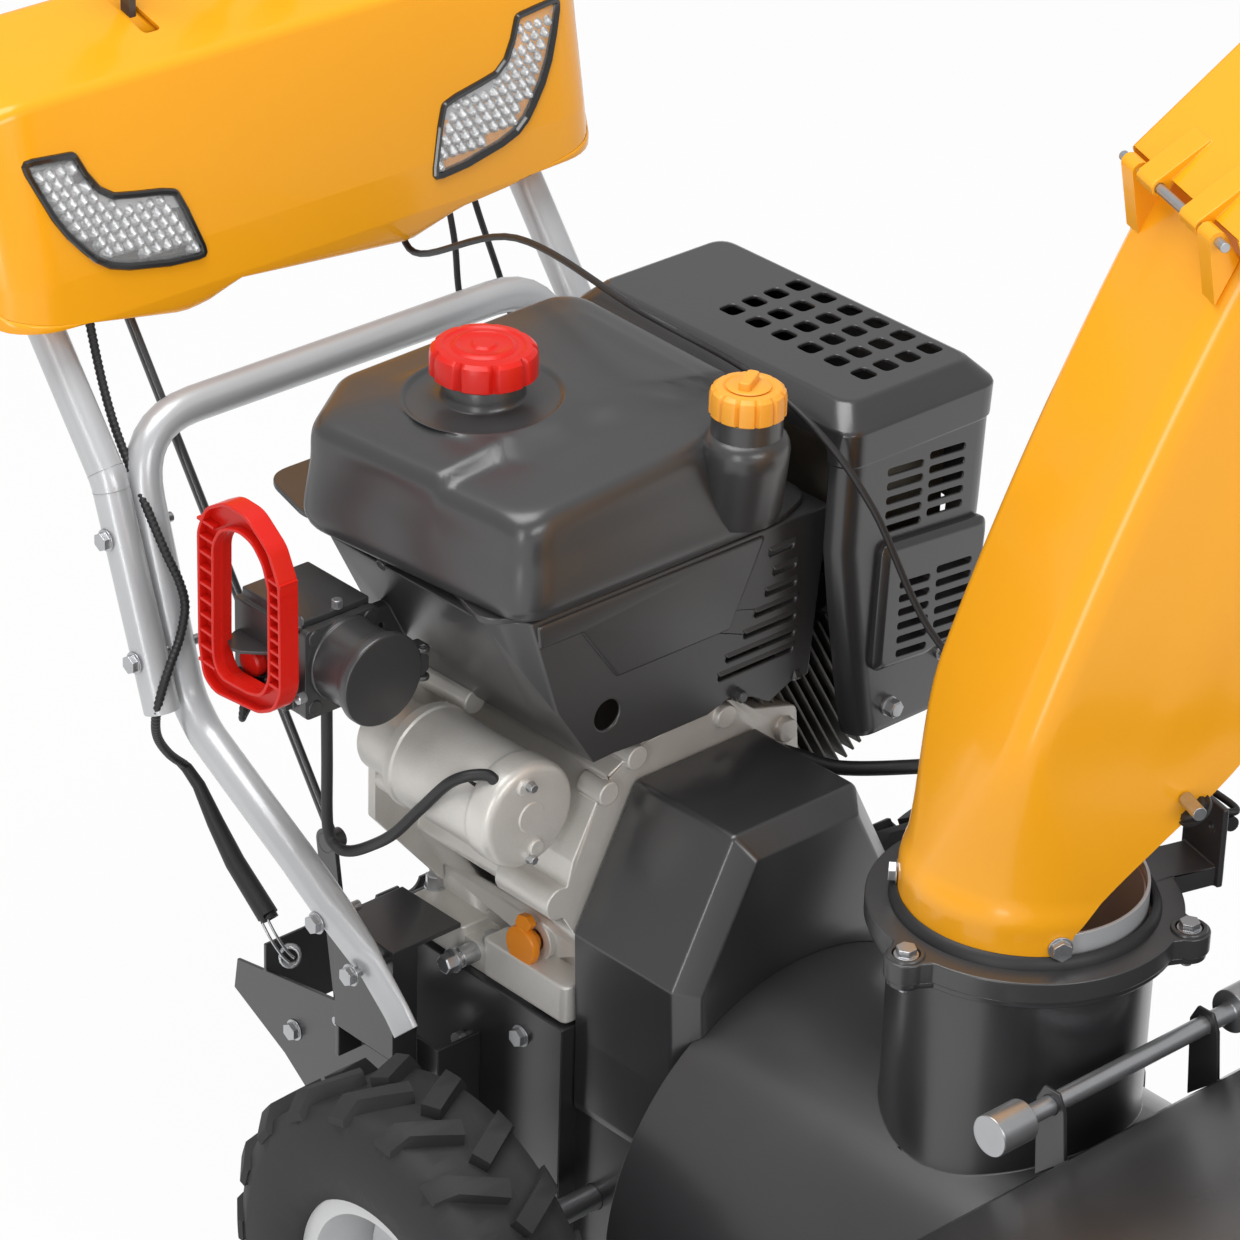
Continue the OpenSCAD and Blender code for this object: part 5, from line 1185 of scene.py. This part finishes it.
# %% Start box
SOCKET = (-228, 0, 603)
fins = [slab(rounded([(-261, 500), (-261, 548), (-276, 542), (-283, 528), (-281, 520)], 3), z, z + 2.6, "z")
        for z in (571, 602)]
seam = block((-263, 562.8), (-196, 634), 5, 469, 476)
bosses = [turned([(1, 468.2), (5.4, 468.2), (6.2, 469), (6.2, 480)], (x, 0, z), "y", 24)
          for x, z in ((-254, 627), (-204, 627), (-254, 571))]
collar = turned([(27.5, 470.5), (31.6, 470.5), (32.2, 469.5), (32.2, 466), (31.2, 465), (31.2, 438),
                 (32.6, 437), (33.4, 436), (33.4, 431.8), (27.5, 431.8)], SOCKET, "y", 64)
make_piece("start_box_trim", fins + [seam] + bosses + [collar], "machine", "black_plastic", edge=0.5,
           angle=40)
lid = turned([(4, 423.8), (33.4, 424.2), (34.8, 424.6), (35.6, 426), (35.6, 430.6), (34.6, 431.6),
              (30, 431.6)],
             SOCKET, "y", 96)
tab = slab(rounded([(-206, 594), (-191, 594), (-186, 598), (-186, 608), (-191, 612), (-206, 612)], 3), 425,
           431.6)
make_piece("socket_lid_disc", [lid, tab], "socket_lid", "black_plastic", ["socket_lid"], edge=0.4, angle=40)
button = turned([(1, -270), (4, -270), (9.6, -269.4), (11.2, -268), (11.6, -266), (11, -257)],
                (0, 526, 588), "x", 48)
make_piece("start_button_dome", [button], "start_button", "red_plastic", ["start_button"], angle=30)

# %% Ring and small castings
PAD_CIRCLE = 115
pads = []
for a in (60, 180, 300):
    x, y = PAD_CIRCLE * math.cos(math.radians(a)), CHUTE_Y + PAD_CIRCLE * math.sin(math.radians(a))
    pads.append(turned([(13, 520), (13, 531.8), (12.4, 532.6), (10, 532.8), (9.6, 531)], (x, y, 0), "z", 48))
make_piece("ring_pads", pads, "machine", "black_plastic", angle=40)
lip = turned([(87.2, 526), (87.2, 537.5), (88.6, 539), (91, 538), (92.6, 535), (94, 531.6), (94, 526)],
             (0, CHUTE_Y, 0), "z", 128, closed=True)
make_piece("ring_lip", [lip], "machine", "rubber", angle=40)
liner = turned([(81.9, 440), (81.9, 545), (80.6, 545), (80.6, 440)], (0, CHUTE_Y, 0), "z", 96, closed=True)
make_piece("neck_liner", [liner], "chute", "tube_steel", angle=40)
feet = [block((-121, 459), (-84, 521), 6, 309, 338.5, "z"),
        block((-121, 344), (-84, 438), 7, 309, 341, "z")]
make_piece("crankcase_feet", feet, "machine", "cast_aluminium", edge=2.4, segments=3)
DRAIN = (0, 449, 322)
drain = [turned([(5, -117), (8, -117), (8, -133), (6.4, -134), (6.4, -137), (9.6, -137.4), (9.6, -140),
                 (5, -140)],
                DRAIN, "x", 32),
         turned([(3, -139), (7.8, -139), (7.8, -148), (6.8, -149), (3, -149)], DRAIN, "x", 6)]
make_piece("drain_plug", drain, "machine", "bare_steel", edge=0.4, angle=40)
grip = [turned([(3, -60), (3, -104), (8, -105), (8, -112), (15, -112.6), (16, -114), (16, -118), (15, -119.6),
                (3, -120)], (0, 397, 352), "x", 48),
        slab(rounded([(391, 366), (385, 374), (391, 380), (400, 378), (404, 368)], 3), -119, -113, "x")]
make_piece("dipstick_grip", grip, "dipstick", "orange_plastic", ["dipstick"], edge=0.5, angle=40)
print("small mouldings ready")

# %% [markdown]
# ## Cables, sleeves and springs
# Every cable on the machine is fixed at both ends. Each follows a smooth curve through a few
# given points. The clutch cable runs in a corrugated sleeve, whose ribs are a sine wave
# on the curve's radius in Geometry Nodes, and ends in a tapered boot over its spring.

# %% Runs of cable
# Each run is (radius, rib, points).
RUNS = {
    "chute_cable": (2.7, 0, [(95, 795, 765), (95, 776, 715), (62, 620, 792), (20, 438, 812), (60, 364, 779),
                             (69, 300, 752), (84, 258, 704), (111, 200, 601), (160, 100, 572),
                             (158, -30, 566), (142, -32, 566)]),
    "clutch_sleeve": (3.4, 0.35, [(-205, 805, 800), (-205, 790, 730), (-210, 760, 672), (-213, 722, 625),
                                  (-212, 697, 590), (-207, 686, 566), (-205, 682, 546), (-213, 678, 525),
                                  (-228, 671, 509), (-239, 668, 491), (-241.5, 672, 468), (-231, 684, 442),
                                  (-208, 700, 412), (-186, 709, 390)]),
    "starter_cable": (4.3, 0, [(-230.5, 485, 562), (-226, 490, 510), (-218, 499, 446), (-215.9, 492, 431),
                               (-210.9, 482, 429.5), (-206.2, 465, 440), (-206.5, 438, 463), (-204, 410, 497),
                               (-199, 382, 530), (-183.4, 364, 537), (-178, 357, 527)]),
    "drive_cable": (2.6, 0, [(138, 800, 780), (138, 779, 715), (142, 775, 661), (142, 748, 590),
                             (132, 690, 500), (112, 630, 420), (100, 600, 320), (90, 575, 250)]),
    "auger_cable": (2.6, 0, [(160, 800, 780), (163, 780, 730), (186, 775, 660), (184, 745, 600),
                             (170, 690, 510), (160, 620, 420), (140, 560, 340), (128, 540, 318)]),
    "fuel_hose": (5.6, 0, [(88, 340, 467), (99, 331, 462), (114, 305, 459), (150, 262, 466), (192, 190, 490),
                           (190, 90, 540), (148, -42, 558)]),
    "pull_rope": (2.4, 0.2, [(-104.2, 560, 499.2), (-150, 564, 534), (-215, 562, 552), (-262, 535, 545),
                             (-283, 516, 552), (-283, 514, 568)]),
}
for name, (radius, rib, run) in RUNS.items():
    grow(name, seed_of(name, curve_of(run, 10), lines=True), SLEEVE,
         {"Radius": radius / 1000, "Rib": rib / 1000}, "machine", "rubber", 60)
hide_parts("cables")


def swept(path, section, side=None):
    """A skin along a path. The section takes a point's number and the two directions across there."""
    rings = []
    for i, p in enumerate(path):
        ahead = (path[min(i + 1, len(path) - 1)] - path[max(i - 1, 0)]).normalized()
        side = side or ahead.orthogonal()
        side = (side - side.dot(ahead) * ahead).normalized()
        rings.append([tuple(p + out) for out in section(i, side, ahead.cross(side))])
    return skin(rings)


def tapered(points, radii):
    """A round skin along a line, with a radius of its own at each point."""
    return swept([Vector(p) for p in points],
                 lambda i, side, up: [radii[i] * (x * side + y * up) for x, y in circle(1, 20)])


boot = [(-190, 712, 394), (-185.5, 708, 388), (-182, 698, 376), (-181, 679, 351), (-180, 657, 326),
        (-180, 617, 297), (-180, 614.6, 294.4), (-180, 622, 302)]
make_piece("clutch_boot", [tapered(boot, [3.6, 4.6, 5.2, 6.8, 8.0, 8.6, 7.4, 6.6])], "machine", "rubber",
           angle=50)
hook = curve_of([(-180, 628, 305), (-178, 612, 284), (-172, 604, 268), (-168, 600, 262)], 6)
hooks = [tapered([p + Vector(shift) for p in hook], [1.1] * len(hook)) for shift in ((0, 0, 0), (-5, 0, -2))]
make_piece("clutch_hooks", hooks, "machine", "bare_steel")
spring("clutch_spring", (-170, 603, 262), (-140, 640, 236), 7.5, 9, 1.3, "machine", "bare_steel")
print(len(RUNS), "cables")

# %% [markdown]
# ## The lower handle
# The lower handle is one tube: two legs and a crossbar, bent round corners as wide as a fist.
# Its feet are pressed flat where they go behind the brackets. The sweep carries a frame along
# the path and squeezes the section near each foot.

# %% Lower handle
BEND_STEPS = 8
SQUEEZE, WIDENING = 0.62, 0.24


def bent(points, radius):
    """A path with every corner rounded to the radius."""
    points = [Vector(p) for p in points]
    inner = [p for corner in zip(points, points[1:], points[2:])
             for p in eased(*corner, radius, 0.48, BEND_STEPS)]
    return points[:1] + inner + points[-1:]


def tube(path, radius, foot):
    """A closed tube along a path. Over the length of the foot at each end it is squeezed across X."""
    run = [0]
    for a, b in zip(path, path[1:]):
        run.append(run[-1] + (b - a).length)

    def section(i, side, up):
        near = min(run[i], run[-1] - run[i])
        thin = 1 - SQUEEZE * (1 - smooth((near - foot * 0.5) / (foot * 0.5)))
        wide = 1 + WIDENING - WIDENING * thin
        ring = [radius * (side * x + up * y) for x, y in circle(1, 32)]
        return [Vector((out.x * thin, out.y * wide, out.z * wide)) for out in ring]

    return swept(path, section, Vector((1, 0, 0)))


LEG_X, HANDLE_RADIUS, HANDLE_BEND, FLAT_FOOT = 205, 14, 58, 84
leg = [(424, 299), (436, 312), (468, 340), (508, 364), (552, 390), (612, 422), (660, 448), (681, 470),
       (744, 672)]
path = bent([(-LEG_X, *p) for p in leg] + [(LEG_X, *p) for p in reversed(leg)], HANDLE_BEND)
make_piece("lower_handle_tube", [tube(path, HANDLE_RADIUS, FLAT_FOOT)], "machine", "tube_steel",
           ["lower_handle"], angle=50)
print("lower handle", len(path), "sections")

# %% [markdown]
# ## Small fittings, placed from the photograph
# Screws and bolts sit where the photograph shows them. One function sends a ray from the
# camera through a pixel and returns where it meets the finished piece that carries the
# fitting, and which way the surface faces there.

# %% A ray through a pixel
FAR, FIRST_STEP, STEP, STEPS = 9, 2.5, 0.005, 400


def tree_for(pieces):
    """One tree of triangles for a few finished pieces."""
    points, faces = [], []
    for piece in pieces:
        start = len(points)
        points += [v.co.copy() for v in piece.data.vertices]
        faces += [[start + k for k in f.vertices] for f in piece.data.polygons]
    return BVHTree.FromPolygons(points, faces)


def placed(px, py, tree):
    """Where the ray through an image point meets a carrier, or the place nearest the ray."""
    line = Vector((px - SIDE / 2, SIDE / 2 - py, -SIDE * eye.lens / eye.sensor_width))
    way = (camera.matrix_world.to_3x3() @ line).normalized()
    start = camera.matrix_world.translation
    place, normal, _, _ = tree.ray_cast(start, way)
    if place is None:
        best = FAR
        for k in range(STEPS):
            near, side, _, gap = tree.find_nearest(start + way * (FIRST_STEP + k * STEP))
            if gap < best:
                best, place, normal = gap, near, side
    if normal.dot(way) > 0:
        normal = -normal
    return place, normal


def shown_at(point):
    """The pixel where a point of the frame shows."""
    local = camera.matrix_world.inverted() @ Vector(point)
    scale = SIDE * eye.lens / eye.sensor_width / -local.z
    return SIDE / 2 + local.x * scale, SIDE / 2 - local.y * scale


# %% Screws and bolts
POINTS = {
    "shroud_bolt_low": (737, 694), "shroud_bolt_right": (796, 679), "plate_screw_rear": (313, 510),
    "plate_screw_front": (386, 561), "guard_bolt_low": (888, 705), "guard_bolt_right": (942, 650),
    "cap_screw_top": (530, 786), "cap_screw_low": (530, 858), "box_screw_top": (300, 622),
    "box_screw_right": (337, 607), "box_screw_low": (304, 697), "pivot_washer": (1196, 812),
    "foot_bolt": (435, 886),
}
spots = {}


def fitted(title, names, carriers, width, look="bare_steel", body="machine", **sizes):
    """Screw heads of one width where the image points fall on the pieces that carry them."""
    tree = tree_for(carriers)
    rows = []
    for name in names:
        place, normal = placed(*POINTS[name], tree)
        spots[name] = place
        rows.append((place, normal, width))
    screws(title, rows, body, look, **sizes)


fitted("shroud_bolts", ["shroud_bolt_low", "shroud_bolt_right"], [dressed["engine_shroud"]], 8.5,
       "black_plastic")
fitted("plate_screws", ["plate_screw_rear", "plate_screw_front"], [tank_plate], 9, "black_plastic")
fitted("guard_bolts", ["guard_bolt_low", "guard_bolt_right"], [guard, guard_panel], 12)
fitted("starter_screws", ["cap_screw_top", "cap_screw_low"], [starter], 6.5)
fitted("box_screws", ["box_screw_top", "box_screw_right", "box_screw_low"],
       [made["start_box_trim"], dressed["switch_box"]], 7.5, Washer=1.1)
fitted("pivot_washer", ["pivot_washer"], [chute], 21, "rubber", "chute", Head_Height=0.08)
fitted("foot_bolt", ["foot_bolt"], [made["crankcase_feet"]], 13)
print(len(spots), "fittings placed from the photograph")

# %% [markdown]
# ## How far things show from their points
# The photograph cuts the machine on every side, so no outer edge is in view. The points are
# features: caps, buttons, bolts. The file says in pixels how far each one shows from its point.

POINTS.update({"fuel_cap": (484, 358), "oil_cap": (750, 399), "dipstick": (544, 939),
               "start_button": (258, 659), "socket_lid": (384, 679), "ring_bolt_near": (905, 945),
               "ring_bolt_left": (1190, 917)})


def middle(name):
    """The middle of the box that a piece fills in the picture."""
    seen = [shown_at(v.co) for v in made[name].data.vertices]
    return tuple((min(p[i] for p in seen) + max(p[i] for p in seen)) / 2 for i in (0, 1))


found = {name: shown_at(place) for name, place in spots.items()}
found.update({"fuel_cap": middle("fuel_cap_cover"), "oil_cap": middle("oil_cap_cover"),
              "dipstick": middle("dipstick_grip"), "start_button": middle("start_button_dome"),
              "socket_lid": middle("socket_lid_disc"),
              "ring_bolt_near": shown_at(at(-PAD_CIRCLE, CHUTE_Y, 540)),
              "ring_bolt_left": shown_at(at(57.5, -87.6, 540))})
offsets = {name: [round(found[name][i] - POINTS[name][i], 1) for i in (0, 1)] for name in POINTS}
print(offsets)
